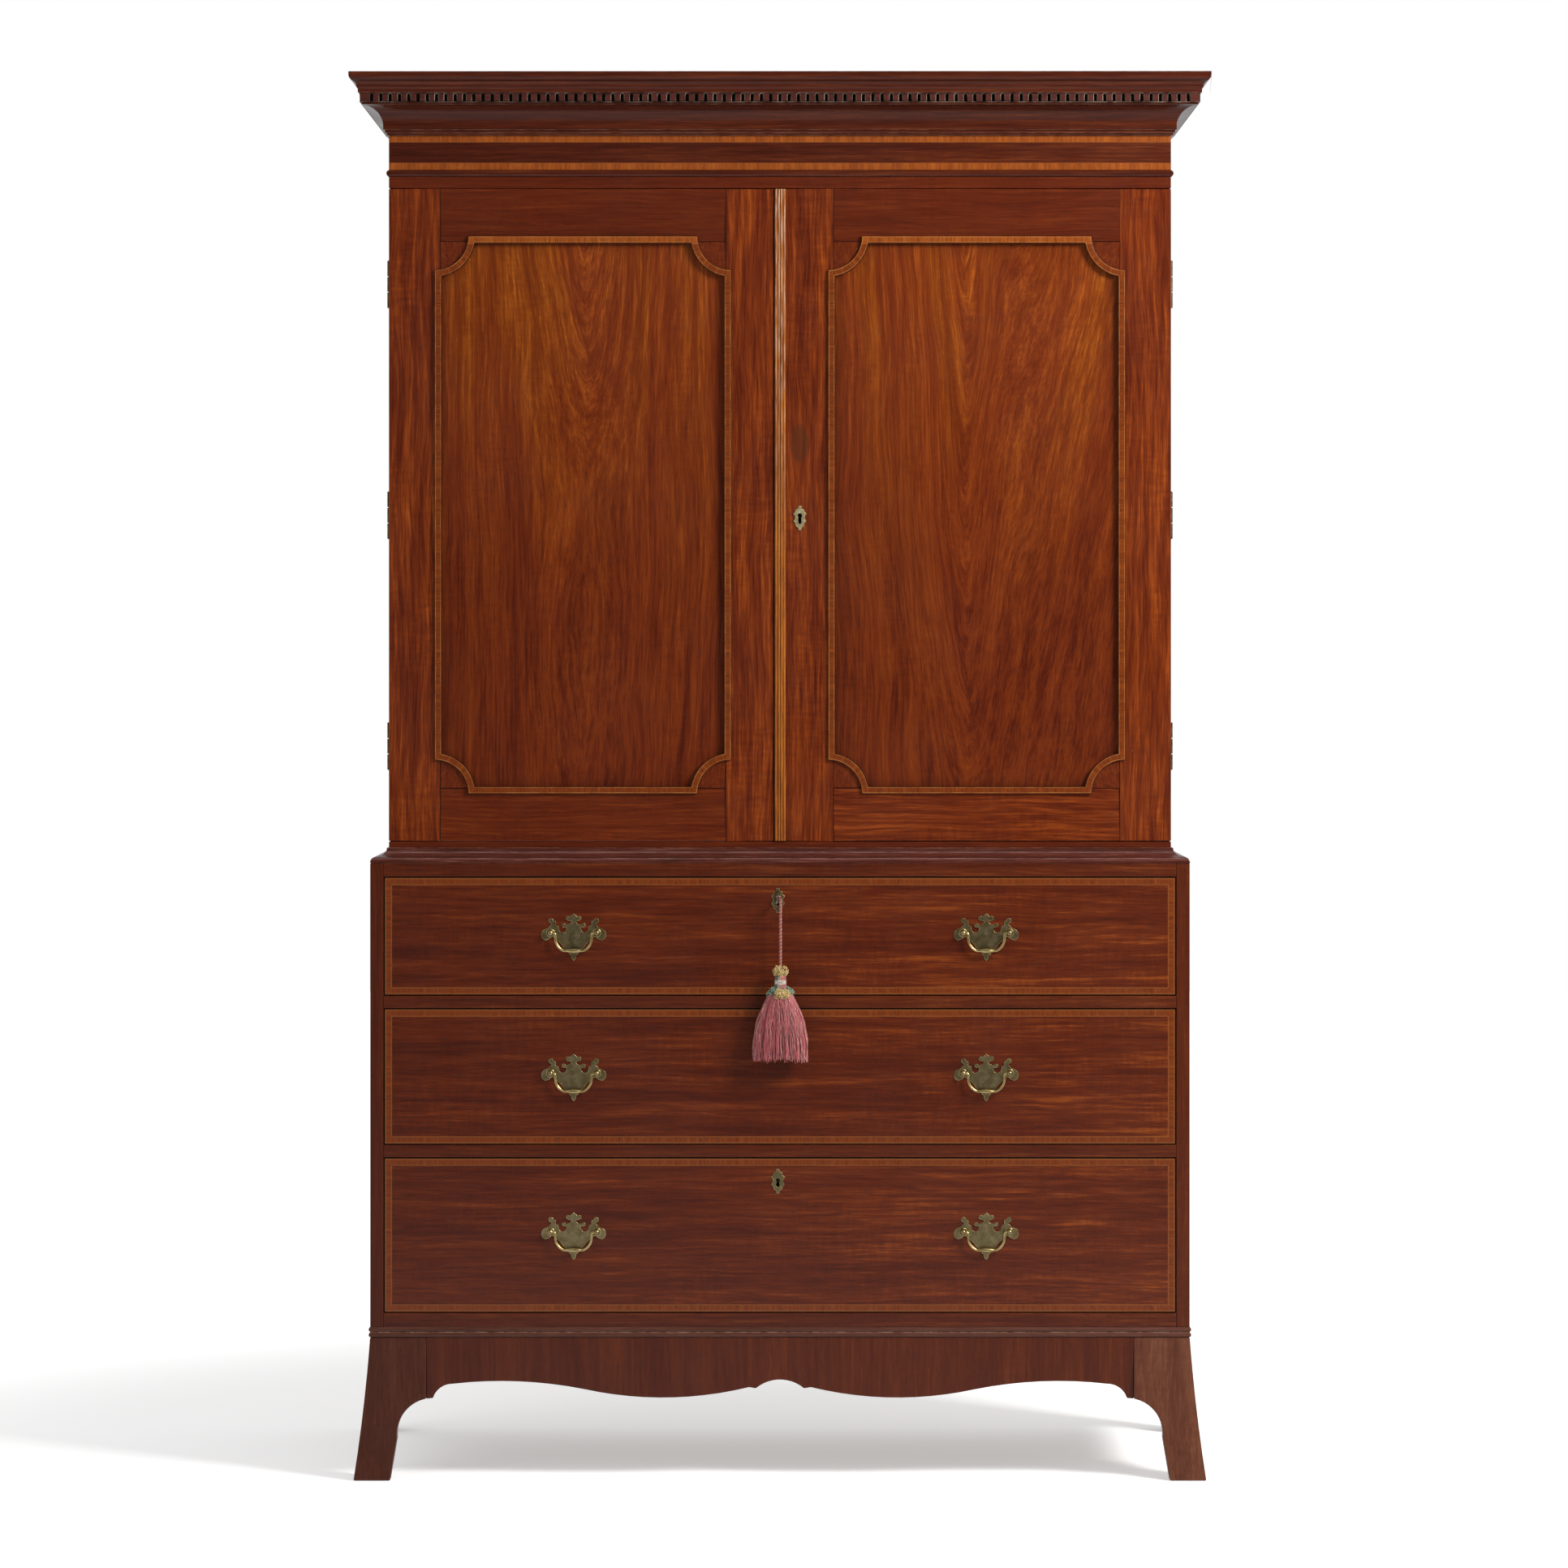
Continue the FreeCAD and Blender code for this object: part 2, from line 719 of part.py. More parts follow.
def linen_slides():
    """Four sliding trays on cleats, numbered from the bottom."""
    front, rear = press_inside_front + slide_setback, back - back_board - slide_back_space
    outer, wall = inner_half - slide_gap, inner_half - slide_gap - slide_wall
    scoop_end = wall - 40
    cleats = []
    for number in range(1, 5):
        floor = slide_floor(number)
        for side, x in enumerate(both(inner_half - cleat, inner_half)):
            cleats.append(box(f"cleat_{number}_{side}", x, (front, rear), (floor - cleat, floor)))
        rim = floor + slide_height
        scoop = [
            (-wall, floor),
            (wall, floor),
            (wall, rim),
            (scoop_end, rim, scoop_depth, 1),
            (scoop_end - scoop_depth, rim - scoop_depth),
            (scoop_depth - scoop_end, rim - scoop_depth, scoop_depth, 1),
            (-scoop_end, rim),
            (-wall, rim),
        ]
        pieces = [
            box(f"slide_{number}_side_{side}", x, (front, rear), (floor, rim))
            for side, x in enumerate(both(wall, outer))
        ]
        pieces.append(prism(f"slide_{number}_front", "y", scoop, front, front + slide_wall))
        pieces.append(box(f"slide_{number}_back", (-wall, wall), (rear - slide_wall, rear), (floor, rim)))
        pieces.append(box(f"slide_{number}_floor", (-wall, wall), (front + slide_wall, rear - slide_wall),
                          (floor + 4, floor + 4 + slide_floor_board)))
        node(f"linen_slide_{number}", pieces)
    node("slide_runners", cleats)


# ---------------------------------------------------------------- cornice

def cornice():
    half = press_width / 2
    astragal = [(-side_board, press_top), (0, press_top, 5.3, 1), (0, frieze_low), (-side_board, frieze_low)]
    node("cornice_bead", mitred_runs("astragal", astragal, half, press_front, (10, side_board)))

    inside = press_front + side_board
    top = total_height
    frame = [box("frieze_front", (-half, half), (press_front, inside), (frieze_low, crown_low))]
    for n, x in enumerate(both(inner_half, half)):
        frame.append(box(f"frieze_side_{n}", x, (inside, back), (frieze_low, crown_low)))
    across = (-inner_half, inner_half)
    frame.append(box("cornice_back_rail", across, (back - side_board, back), (press_top, top - 20)))
    frame.append(box("cornice_dust_board", across, (inside, back), (top - 20, top - 10)))
    node("cornice_frame", frame)

    crown = [
        (-side_board, crown_low),
        (3, crown_low),
        (3, top - 86.5),
        (5.5, top - 86.5),
        (5.5, top - 82),
        (8, top - 82),
        (8, top - 76, 30, -1),
        (36, top - 47),
        (37.5, top - 47),
        (37.5, top - 44),
        (dentil_back, top - 44),
        (dentil_back, top - 30),
        (43, top - 30),
        (43, top - 25),
        (45, top - 22, 9, -1),
        (cornice_overhang - 5.5, top - 13, 9, 1),
        (cornice_overhang, top - 5),
        (cornice_overhang, top),
        (-side_board, top),
    ]
    reach = (cornice_overhang + 10, side_board)
    node("cornice_moulding", mitred_runs("crown", crown, half, press_front, reach))


def dentil_run(name, length):
    """A strip of small blocks, drawn from its middle along X with its face at y = 0."""
    body = doc.addObject("PartDesign::Body", name)
    planes = {plane.Role: plane for plane in body.Origin.OriginFeatures}
    strip = body.newObject("Sketcher::SketchObject", name + "_strip")
    strip.AttachmentSupport = [(planes["XY_Plane"], "")]
    strip.MapMode = "FlatFace"
    depth = dentil_face - dentil_back
    draw(strip, [(-length / 2, 0), (length / 2, 0), (length / 2 - depth, depth), (depth - length / 2, depth)])
    pad = body.newObject("PartDesign::Pad", name + "_pad")
    pad.Profile = strip
    bind(pad, "Length", dentil_high - dentil_low)

    count = max(int(length.value / dentil_pitch.value) - 2, 1)
    first = -as_size(count) * dentil_pitch / 2
    slot_half = dentil_slot / 2
    slot = body.newObject("Sketcher::SketchObject", name + "_slot")
    slot.AttachmentSupport = [(planes["XZ_Plane"], "")]
    slot.MapMode = "FlatFace"
    slot_top = dentil_high - dentil_low - dentil_lip
    draw(slot, [
        (first - slot_half, dentil_lip),
        (first + slot_half, dentil_lip),
        (first + slot_half, slot_top - slot_half, slot_half * NEARLY_ROUND, 1),
        (first - slot_half, slot_top - slot_half),
    ])
    pocket = body.newObject("PartDesign::Pocket", name + "_pocket")
    pocket.Profile = slot
    pocket.Type = "Length"
    pocket.Midplane = True
    bind(pocket, "Length", 2 * (depth - dentil_web))
    row = body.newObject("PartDesign::LinearPattern", name + "_row")
    row.Originals = [pocket]
    row.Direction = (slot, ["H_Axis"])
    row.Occurrences = count + 1
    bind(row, "Length", as_size(count) * dentil_pitch)
    body.Tip = row
    return body


def dentil_course():
    """The dentils stand on the crown's shelf, mitred round the front corners."""
    front_half = press_width / 2 + dentil_face
    front = dentil_run("dentils_front", 2 * front_half)
    put(front, 0, press_front - dentil_face, dentil_low)
    side_length = back - press_front + dentil_face
    side_strip = dentil_run("dentils_side", 2 * side_length)
    side_strip.Placement = Placement(Vector(), Rotation(Vector(0, 0, 1), 90))
    put(side_strip, front_half, back, dentil_low)
    level = (dentil_low - PAST, dentil_high + PAST)
    keep = box("dentils_side_keep", (0, press_width), (press_front - dentil_face - PAST, back), level)
    side = common("dentils_side_run", [side_strip, keep])
    node("dentil_course", [front] + left_and_right("dentils_left_side", side))


# ---------------------------------------------------------------- doors

left_door_x = (-press_width / 2, meeting_line - meeting_gap)
right_door_x = (meeting_line, press_width / 2)


def bolt_room(name, low, high):
    """A mortise for a door bolt in the press floor or ceiling."""
    half = bolt_size / 2 + 1
    y = (door_back + leaf - 1, door_back + leaf + bolt_size + 1)
    return box(name, (bolt_x - half, bolt_x + half), y, (low, high))


def panel_ring(name, x, z, y):
    """The mitred moulding round a panel, with its corners struck inward."""
    def ring(inset):
        low_x, high_x = x[0] - moulding_lap + inset, x[1] + moulding_lap - inset
        low_z, high_z = z[0] - moulding_lap + inset, z[1] + moulding_lap - inset
        radius, reach = moulding_corner + inset, moulding_corner
        if inset != 0:
            reach = root(radius * radius - moulding_width * moulding_width) - inset
        return [
            (low_x + reach, low_z),
            (high_x - reach, low_z, radius, -1),
            (high_x, low_z + reach),
            (high_x, high_z - reach, radius, -1),
            (high_x - reach, high_z),
            (low_x + reach, high_z, radius, -1),
            (low_x, high_z - reach),
            (low_x, low_z + reach, radius, -1),
        ]
    outer = prism(name + "_outer", "y", ring(0), *y)
    inner = prism(name + "_inner", "y", ring(moulding_width), y[0] - PAST, y[1] + PAST)
    return cut(name + "_ring", outer, [inner])


def door(name, side, x, meeting_width, extra_rooms):
    """A framed door: stiles, rails, corner pieces, a flat panel and its moulding."""
    z = (door_bottom, door_top)
    y = (press_front, door_back)
    outer_x = (x[0], x[0] + outer_stile) if side < 0 else (x[1] - outer_stile, x[1])
    inner_x = (x[1] - meeting_width, x[1]) if side < 0 else (x[0], x[0] + meeting_width)
    field_x = (outer_x[1], inner_x[0]) if side < 0 else (inner_x[1], outer_x[0])
    field_z = (door_bottom + door_rail, door_top - door_rail)
    rooms = hinge_notches(name, side, (door_back - leaf, door_back))
    stile = cut(f"{name}_outer_stile", box(f"{name}_outer_stile_board", outer_x, y, z), rooms)
    meeting = cut(f"{name}_meeting_stile", box(f"{name}_meeting_stile_board", inner_x, y, z), extra_rooms)
    frame = [stile, meeting]
    frame.append(box(f"{name}_bottom_rail", field_x, y, (door_bottom, field_z[0])))
    frame.append(box(f"{name}_top_rail", field_x, y, (field_z[1], door_top)))

    reach_radius = moulding_corner + moulding_lap
    reach = root(reach_radius * reach_radius - moulding_lap * moulding_lap) - moulding_lap
    for n, (corner_x, corner_z, along, up) in enumerate((
        (field_x[0], field_z[0], 1, 1), (field_x[1], field_z[0], -1, 1),
        (field_x[0], field_z[1], 1, -1), (field_x[1], field_z[1], -1, -1),
    )):
        turn = along * up
        frame.append(prism(f"{name}_corner_{n}", "y", [
            (corner_x, corner_z),
            (corner_x + along * reach, corner_z, reach_radius, turn),
            (corner_x, corner_z + up * reach),
        ], press_front, press_front + panel_depth))
    node(f"{name}_frame", frame)
    panel_y = (press_front + panel_depth, press_front + panel_depth + panel_thickness)
    node(f"{name}_panel", [box(f"{name}_panel_board", field_x, panel_y, field_z)])
    ring_y = (press_front - moulding_relief, press_front)
    node(f"{name}_moulding", [panel_ring(name, field_x, field_z, ring_y)])


def hinge_leaves(name, side, y, knuckles):
    """Leaves let into the wood, each with its share of the knuckle.

    knuckles lists the stretches of the hinge's length, from 0 to 1, that this
    leaf's knuckles take.
    """
    leaves = []
    for n, level in enumerate(hinge_levels()):
        low = level - hinge_length / 2
        shoulder = press_width / 2 - knuckle - 1
        near, far = side * shoulder, side * (press_width / 2 - leaf_width)
        x = (near, far) if side < 0 else (far, near)
        parts = [box(f"{name}_leaf_{n}", x, y, (low, low + hinge_length))]
        for k, (start, stop) in enumerate(knuckles):
            z = (low + hinge_length * start + 0.2, low + hinge_length * stop - 0.2)
            tab_x = (side * hinge_x, near) if side < 0 else (near, side * hinge_x)
            parts.append(box(f"{name}_tab_{n}_{k}", tab_x, y, z))
            parts.append(rod(f"{name}_knuckle_{n}_{k}", "z", knuckle, (side * hinge_x, hinge_y), *z))
        bore = rod(f"{name}_bore_{n}", "z", pin_radius + pin_gap, (side * hinge_x, hinge_y),
                   low - PAST, low + hinge_length + PAST)
        leaves.append(cut(f"{name}_bored_{n}", fuse(f"{name}_whole_{n}", parts), [bore]))
    return leaves


def hinge_pins(name, side):
    pins = []
    for n, level in enumerate(hinge_levels()):
        low, high = level - hinge_length / 2, level + hinge_length / 2
        shank = rod(f"{name}_pin_{n}", "z", pin_radius, (side * hinge_x, hinge_y), low, high)
        head = rod(f"{name}_head_{n}", "z", knuckle - 0.8, (side * hinge_x, hinge_y), high - 0.2, high + 0.4)
        foot = rod(f"{name}_foot_{n}", "z", knuckle - 0.8, (side * hinge_x, hinge_y), low - 0.4, low + 0.2)
        pins.append(fuse(f"{name}_pin_whole_{n}", [shank, head, foot]))
    return pins


def door_hinges():
    ends, middle = ((0, 0.33), (0.67, 1)), ((0.34, 0.66),)
    carcase_y = (press_inside_front, press_inside_front + leaf)
    door_y = (door_back - leaf, door_back)
    fixed = []
    for hand, side in (("left", -1), ("right", 1)):
        fixed += hinge_leaves(f"{hand}_carcase_hinge", side, carcase_y, ends)
        fixed += hinge_pins(f"{hand}_hinge", side)
        node(f"{hand}_door_hinge_leaves", hinge_leaves(f"{hand}_door_hinge", side, door_y, middle))
    node("carcase_hinge_leaves", fixed)


def left_door():
    latch = door_lock_box("left_door_mortise", meeting_line - meeting_gap - lock_throw - 3,
                          meeting_line, door_bolt_half + bolt_gap, 1)
    door("left_door", -1, left_door_x, inner_stile, [latch])
    plates, guard, near_gap = [], 2, 3
    for end, board_face, way in (("bottom", press_floor, 1), ("top", press_ceiling, -1)):
        near = board_face + way * near_gap
        far = near + way * bolt_plate_length
        z = (near, far) if way > 0 else (far, near)
        wide, narrow = bolt_size / 2 + bolt_plate_margin, bolt_size / 2
        room = door_back + leaf + bolt_size + bolt_play
        y = (door_back, door_back + leaf)
        back_plate = box(f"{end}_bolt_plate", (bolt_x - wide, bolt_x + wide), y, z)
        parts = [back_plate]
        for n, share in enumerate((12, 70)):
            low = near + way * share
            span = (low, low + bolt_staple) if way > 0 else (low - bolt_staple, low)
            strap = (door_back + leaf, room + guard)
            parts.append(box(f"{end}_bolt_staple_{n}", (bolt_x - wide, bolt_x + wide), strap, span))
        channel = box(f"{end}_bolt_channel", (bolt_x - narrow - bolt_play, bolt_x + narrow + bolt_play),
                      (door_back + leaf, room), (z[0] - PAST, z[1] + PAST))
        plates.append(cut(f"{end}_bolt_guide", fuse(f"{end}_bolt_guide_whole", parts), [channel]))
        rod_z = (near, far - way * 20) if way > 0 else (far - way * 20, near)
        rod_y = (door_back + leaf + 0.3, door_back + leaf + bolt_size)
        bar = box(f"{end}_bolt_bar", (bolt_x - narrow, bolt_x + narrow), rod_y, rod_z)
        grip_z = near + way * 47
        grip = rod(f"{end}_bolt_grip", "y", 3.2, (bolt_x, grip_z), rod_y[1] - 0.5, rod_y[1] + 4.5)
        node(f"left_door_{end}_bolt", [fuse(f"{end}_bolt_whole", [bar, grip])])
    node("left_door_bolt_plates", plates)


def door_lock_box(name, low_x, high_x, half_height, spare):
    """A box in the thickness of the doors, level with the door lock's bolt."""
    middle, deep = door_back - lock_depth / 2, lock_bolt_thickness / 2 + spare
    y = (middle - deep, middle + deep)
    return box(name, (low_x, high_x), y, (door_lock_z - half_height, door_lock_z + half_height))


def right_door():
    lock_y = (door_back - lock_depth, door_back)
    case_x = (meeting_line, meeting_line + lock_width)
    case_z = (door_lock_z - door_lock_height / 2, door_lock_z + door_lock_height / 2)
    room_x = (meeting_line - PAST, meeting_line + lock_width)
    rooms = [
        box("door_lock_room", room_x, (lock_y[0], door_back + PAST), case_z),
        keyhole_tool("door_stile_keyhole", door_lock_x, door_lock_z, press_front - PAST, door_back),
    ]
    door("right_door", 1, right_door_x, bead_width + inner_stile, rooms)

    reed = bead_width / 8
    bead_end, reed_foot = meeting_line + bead_width, press_front - 1.6
    reeds = [(meeting_line, press_front)]
    for n in range(4):
        reeds.append((meeting_line + 2 * n * reed, reed_foot, reed * NEARLY_ROUND, 1))
    reeds += [(bead_end, reed_foot), (bead_end, press_front)]
    node("meeting_bead", [prism("reeded_bead", "z", reeds, door_bottom, door_top)])

    case = box("door_lock_block", case_x, lock_y, case_z)
    channel = door_lock_box("door_lock_channel", meeting_line - PAST, meeting_line + 40,
                            door_bolt_half + bolt_gap, bolt_gap)
    ward = rod("door_lock_ward", "y", ward_radius, (door_lock_x, door_lock_z),
               lock_y[0] - PAST, door_back - 2)
    node("right_door_lock", [cut("door_lock_case", case, [channel, ward])])
    bolt_start = meeting_line + 0.5
    bolt = door_lock_box("door_lock_bolt_bar", bolt_start, bolt_start + door_bolt_length, door_bolt_half, 0)
    node("right_door_lock_bolt", [bolt])
    plate = escutcheon("door_escutcheon", door_lock_x, door_lock_z, press_front, DOOR_EYE_RISE)
    node("door_escutcheon", [plate])


def keyhole_tool(name, x, z, low, high, rise=DOOR_EYE_RISE):
    """A keyhole: a round eye over a slot that widens a little to its foot."""
    eye = rod(name + "_eye", "y", 3.2, (x, z + rise), low, high)
    slot = prism(name + "_slot", "y", [
        (x - 1.8, z + rise), (x - 2.6, z - 7), (x, z - 9), (x + 2.6, z - 7), (x + 1.8, z + rise),
    ], low, high)
    return fuse(name, [eye, slot])


def symmetric(half, x, z, scale=1):
    """A closed outline about x from its left half, which runs from its head to its foot."""
    corners = [(x + c[0] * scale, z + c[1] * scale) + bend(c, scale) for c in half[:-1]]
    for n in range(len(half) - 1, 0, -1):
        u, v = half[n][0], half[n][1]
        corners.append((x - u * scale, z + v * scale) + bend(half[n - 1], scale))
    return corners


def bend(corner, scale):
    return (corner[2] * scale, corner[3]) if len(corner) > 2 else ()


ESCUTCHEON_THICKNESS = 1.2


def escutcheon(name, x, z, face, rise):
    """A small pierced cartouche with a ball at head and foot."""
    half = [
        (0, 18.5, 2.3, 1),
        (-2.2, 14.9),
        (-6.5, 12.5, 6, -1),
        (-10, 6.7, 5, 1),
        (-7.5, 2.5),
        (-7.5, -0.5),
        (-10, -5, 7, -1),
        (-6.5, -12),
        (-2.2, -14.9, 2.3, 1),
        (0, -18.5),
    ]
    plate = prism(name + "_plate", "y", symmetric(half, x, z), face - ESCUTCHEON_THICKNESS, face)
    hole = keyhole_tool(name + "_hole", x, z, face - ESCUTCHEON_THICKNESS - PAST, face + PAST, rise)
    return cut(name + "_pierced", plate, [hole])


# ---------------------------------------------------------------- handles

DRAWN_PLATE_WIDTH = 95.6


def handle_plate():
    """A bat-wing plate, drawn about the middle between its posts."""
    half = [
        (0, 28.9),
        (-5.5, 23.7, 3.4, 1),
        (-11.4, 21.2, 3, 1),
        (-8.5, 18.2),
        (-3.2, 17),
        (-4.8, 13.9, 9, -1),
        (-12, 12.2, 3, 1),
        (-17.8, 11.2, 3, 1),
        (-14.8, 8.2),
        (-10.9, 8.2),
        (-10.9, 5.9, 5.4, -1),
        (-16.3, 0.5, 5.4, -1),
        (-21.7, 5.9),
        (-23, 10.4),
        (-26.2, 10.7),
        (-26.2, 16.2, 2, 1),
        (-29.7, 17.2),
        (-29.7, 18, 3.8, 1),
        (-33.5, 21.8, 3.8, 1),
        (-37.3, 18, 3.8, 1),
        (-33.5, 14.2),
        (-32.6, 11.8, 7, 1),
        (-36.4, 8),
        (-42.3, 5.4, 8.2, 1),
        (-47.8, -2.1, 8.2, 1),
        (-41.2, -11.2),
        (-35.9, -9.1),
        (-31.6, -5.4),
        (-23, -12.3, 26, -1),
        (-15.5, -21.4),
        (-6.5, -29, 2, 1),
        (-5, -32.3),
        (-3.7, -33.2, 9, 1),
        (0, -41.5),
    ]
    corners = symmetric(half, 0, 0, plate_width.value / DRAWN_PLATE_WIDTH)
    points = [Vector(c[0], c[1], 0) for c in corners]
    edges = []
    for corner, start, end in zip(corners, points, points[1:] + points[:1]):
        straight = len(corner) == 2
        edge = Part.LineSegment(start, end) if straight else arc_between(start, end, corner[2], corner[3])
        edges.append(edge.toShape())
    face = Part.Face(Part.Wire(Part.__sortEdges__(edges)))
    face.rotate(Vector(), Vector(1, 0, 0), 90)
    blank = doc.addObject("Part::Feature", "batwing_blank")
    blank.Shape = face.extrude(Vector(0, -plate_thickness.value, 0))
    holes = [
        rod(f"batwing_hole_{n}", "y", post_hole, (x, 0), -plate_thickness - PAST, PAST)
        for n, x in enumerate((-post_spread, post_spread))
    ]
    return cut("batwing", blank, holes)


def handle_post():
    """A domed post with a shank through the drawer front and a cross hole for the bail."""
    middle = -(plate_thickness + bail_reach)
    nut_top = front_thickness + nut_height
    shank = rod("post_shank", "y", post_radius, (0, 0), middle, nut_top + 3)
    collar = rod("post_collar_ring", "y", post_collar, (0, 0), -plate_thickness - 2, -plate_thickness)
    head = doc.addObject("Part::Sphere", "post_head")
    bind(head, "Radius", post_head)
    put(head, 0, middle, 0)
    past_head = post_head + PAST
    hole = rod("post_cross_hole", "x", bail_radius + pin_gap, (middle, 0), -past_head, past_head)
    nut_hole = rod("nut_hole", "y", post_hole, (0, 0), front_thickness - PAST, nut_top + PAST)
    nut_blank = rod("post_nut_blank", "y", nut_radius, (0, 0), front_thickness, nut_top)
    nut = cut("post_nut", nut_blank, [nut_hole])
    return cut("post", fuse("post_whole", [shank, collar, head]), [hole]), nut


def bent_path(points):
    """Straight runs joined by arcs, each as large as its two runs allow."""
    edges, last = [], points[0]
    for before, here, after in zip(points, points[1:], points[2:]):
        way_in, way_out = (here - before).normalize(), (after - here).normalize()
        half_turn = way_in.getAngle(way_out) / 2
        shorter = min((here - before).Length, (after - here).Length)
        trim = 0.45 * shorter
        radius = trim / math.tan(half_turn)
        start, end = here - way_in * trim, here + way_out * trim
        to_centre = (way_out - way_in).normalize()
        middle = here + to_centre * (radius / math.cos(half_turn) - radius)
        edges.append(Part.LineSegment(last, start).toShape())
        edges.append(Part.Arc(start, middle, end).toShape())
        last = end
    edges.append(Part.LineSegment(last, points[-1]).toShape())
    return Part.Wire(edges)


def tube(path, radius, start, way):
    ring = Part.Wire(Part.makeCircle(radius, start, way))
    return path.makePipeShell([ring], True, True)


def bail():
    """A swan-neck bail about the line of its two pins, swelling in the middle."""
    radius, pin_end = bail_radius.value, post_spread.value - 0.5
    neck = pin_end - 7.5
    points = [
        Vector(pin_end, 0, 0),
        Vector(neck, 0, 0),
        Vector(neck + 0.7, 0, -7.5),
        Vector(neck - 0.7, 0, -15.8),
        Vector(neck - 5.5, 0, -22.6),
        Vector(14.5, 0, -26.4),
        Vector(10.5, 0, -26.4),
    ]
    arm = tube(bent_path(points), radius, points[0], Vector(1, 0, 0))
    swell_end, swell = points[-1].x, radius + 1.3
    bar_z = points[-1].z
    curve = Part.Arc(Vector(-swell_end, 0, bar_z + radius), Vector(0, 0, bar_z + swell),
                     Vector(swell_end, 0, bar_z + radius)).toShape()
    axis_left, axis_right = Vector(-swell_end, 0, bar_z), Vector(swell_end, 0, bar_z)
    section = Part.Wire([
        curve,
        Part.makeLine(Vector(swell_end, 0, bar_z + radius), axis_right),
        Part.makeLine(axis_right, axis_left),
        Part.makeLine(axis_left, Vector(-swell_end, 0, bar_z + radius)),
    ])
    grip = Part.Face(section).revolve(axis_left, Vector(1, 0, 0), 360)
    other = arm.mirror(Vector(), Vector(1, 0, 0))
    whole = Part.makeSolid(arm.Shells[0]).multiFuse([Part.makeSolid(other.Shells[0]), grip])
    piece = doc.addObject("Part::Feature", "bail")
    piece.Shape = whole.removeSplitter()
    return piece


# ---------------------------------------------------------------- drawers

def drawer_top(number):
    return drawer_floors[number - 1] + drawer_openings[number - 1] - drawer_gap


def lock_body(name, top):
    """A drawer lock let into the back of its drawer front, and its bolt."""
    y = (base_front + front_thickness - lock_depth, base_front + front_thickness)
    x = (key_x - lock_width / 2, key_x + lock_width / 2)
    case = box(name + "_block", x, y, (top - lock_height, top))
    middle = base_front + front_thickness - lock_depth / 2
    half, deep = lock_bolt_half, lock_bolt_thickness / 2
    eye_z = top - lock_drop + DRAWER_EYE_RISE
    channel = box(name + "_channel", (key_x - half - bolt_gap, key_x + half + bolt_gap),
                  (middle - deep - bolt_gap, middle + deep + bolt_gap), (eye_z + ward_radius - 1, top + PAST))
    ward = rod(name + "_ward", "y", ward_radius, (key_x, eye_z), y[0] - PAST, y[1] - 2)
    bolt = box(name + "_bolt_bar", (key_x - half, key_x + half), (middle - deep, middle + deep),
               (eye_z + ward_radius + 0.5, top - 0.3))
    return cut(name + "_case", case, [channel, ward]), bolt


def drawers():
    plate, (post, nut), hanging = handle_plate(), handle_post(), bail()
    for number in (1, 2, 3):
        floor, top = drawer_floors[number - 1], drawer_top(number)
        name = f"drawer_{number}"
        half = base_inner_half - drawer_gap
        inner_face = base_front + front_thickness
        handle_z = (floor + drawer_gap + top) / 2 + handle_rise
        front = box(f"{name}_face", (-half, half), (base_front, inner_face), (floor + drawer_gap, top))

        through = (base_front - PAST, inner_face + PAST)
        rooms, brasses = [], []
        for hand, middle in (("left", -handle_spread), ("right", handle_spread)):
            brasses.append(copy_of(f"{name}_{hand}_plate", plate, middle, base_front, handle_z))
            for end, offset in (("left", -post_spread), ("right", post_spread)):
                x = middle + offset
                place = f"{name}_{hand}_{end}"
                brasses.append(copy_of(place + "_post", post, x, base_front, handle_z))
                brasses.append(copy_of(place + "_nut", nut, x, base_front, handle_z))
                rooms.append(rod(place + "_hole", "y", post_hole, (x, handle_z), *through))
            hung = copy_of(f"{name}_{hand}_hanging_bail", hanging, middle, post_y, handle_z)
            node(f"{name}_{hand}_bail", [hung])
        if number != 2:
            lock, bolt = lock_body(f"{name}_lock", top)
            rooms.append(box(f"{name}_lock_room", (key_x - lock_width / 2, key_x + lock_width / 2),
                             (inner_face - lock_depth, inner_face + PAST), (top - lock_height, top + PAST)))
            keyhole_z = top - lock_drop
            rooms.append(keyhole_tool(f"{name}_keyhole", key_x, keyhole_z, base_front - PAST, inner_face,
                                      DRAWER_EYE_RISE))
            brasses.append(escutcheon(f"{name}_escutcheon", key_x, keyhole_z, base_front, DRAWER_EYE_RISE))
            node(f"{name}_lock", [lock])
            node(f"{name}_lock_bolt", [bolt])
        node(f"{name}_front", [cut(f"{name}_front_cut", front, rooms)])
        node(f"{name}_brasses", brasses)

        rear = back - back_board - drawer_back_space
        low, high = floor + running_gap, top - side_drop
        wall = half - drawer_side
        tray_low = low + drawer_bottom_rise
        pieces = [
            box(f"{name}_side_{n}", x, (inner_face, rear), (low, high))
            for n, x in enumerate(both(wall, half))
        ]
        tray_top = tray_low + drawer_bottom
        pieces.append(box(f"{name}_bottom", (-wall, wall), (inner_face, rear), (tray_low, tray_top)))
        pieces.append(box(f"{name}_back", (-wall, wall), (rear - drawer_side, rear), (tray_top, high - 6)))
        node(f"{name}_box", pieces)


# ---------------------------------------------------------------- key and tassel

BOW_LEAN = 23  # degrees that the key is turned past upright
BOW_REACH = 14  # from the drawer's face to the middle of the bow
LOOP_CLIMB = 30  # degrees up the bow from its foremost point, where the cord's loop hangs


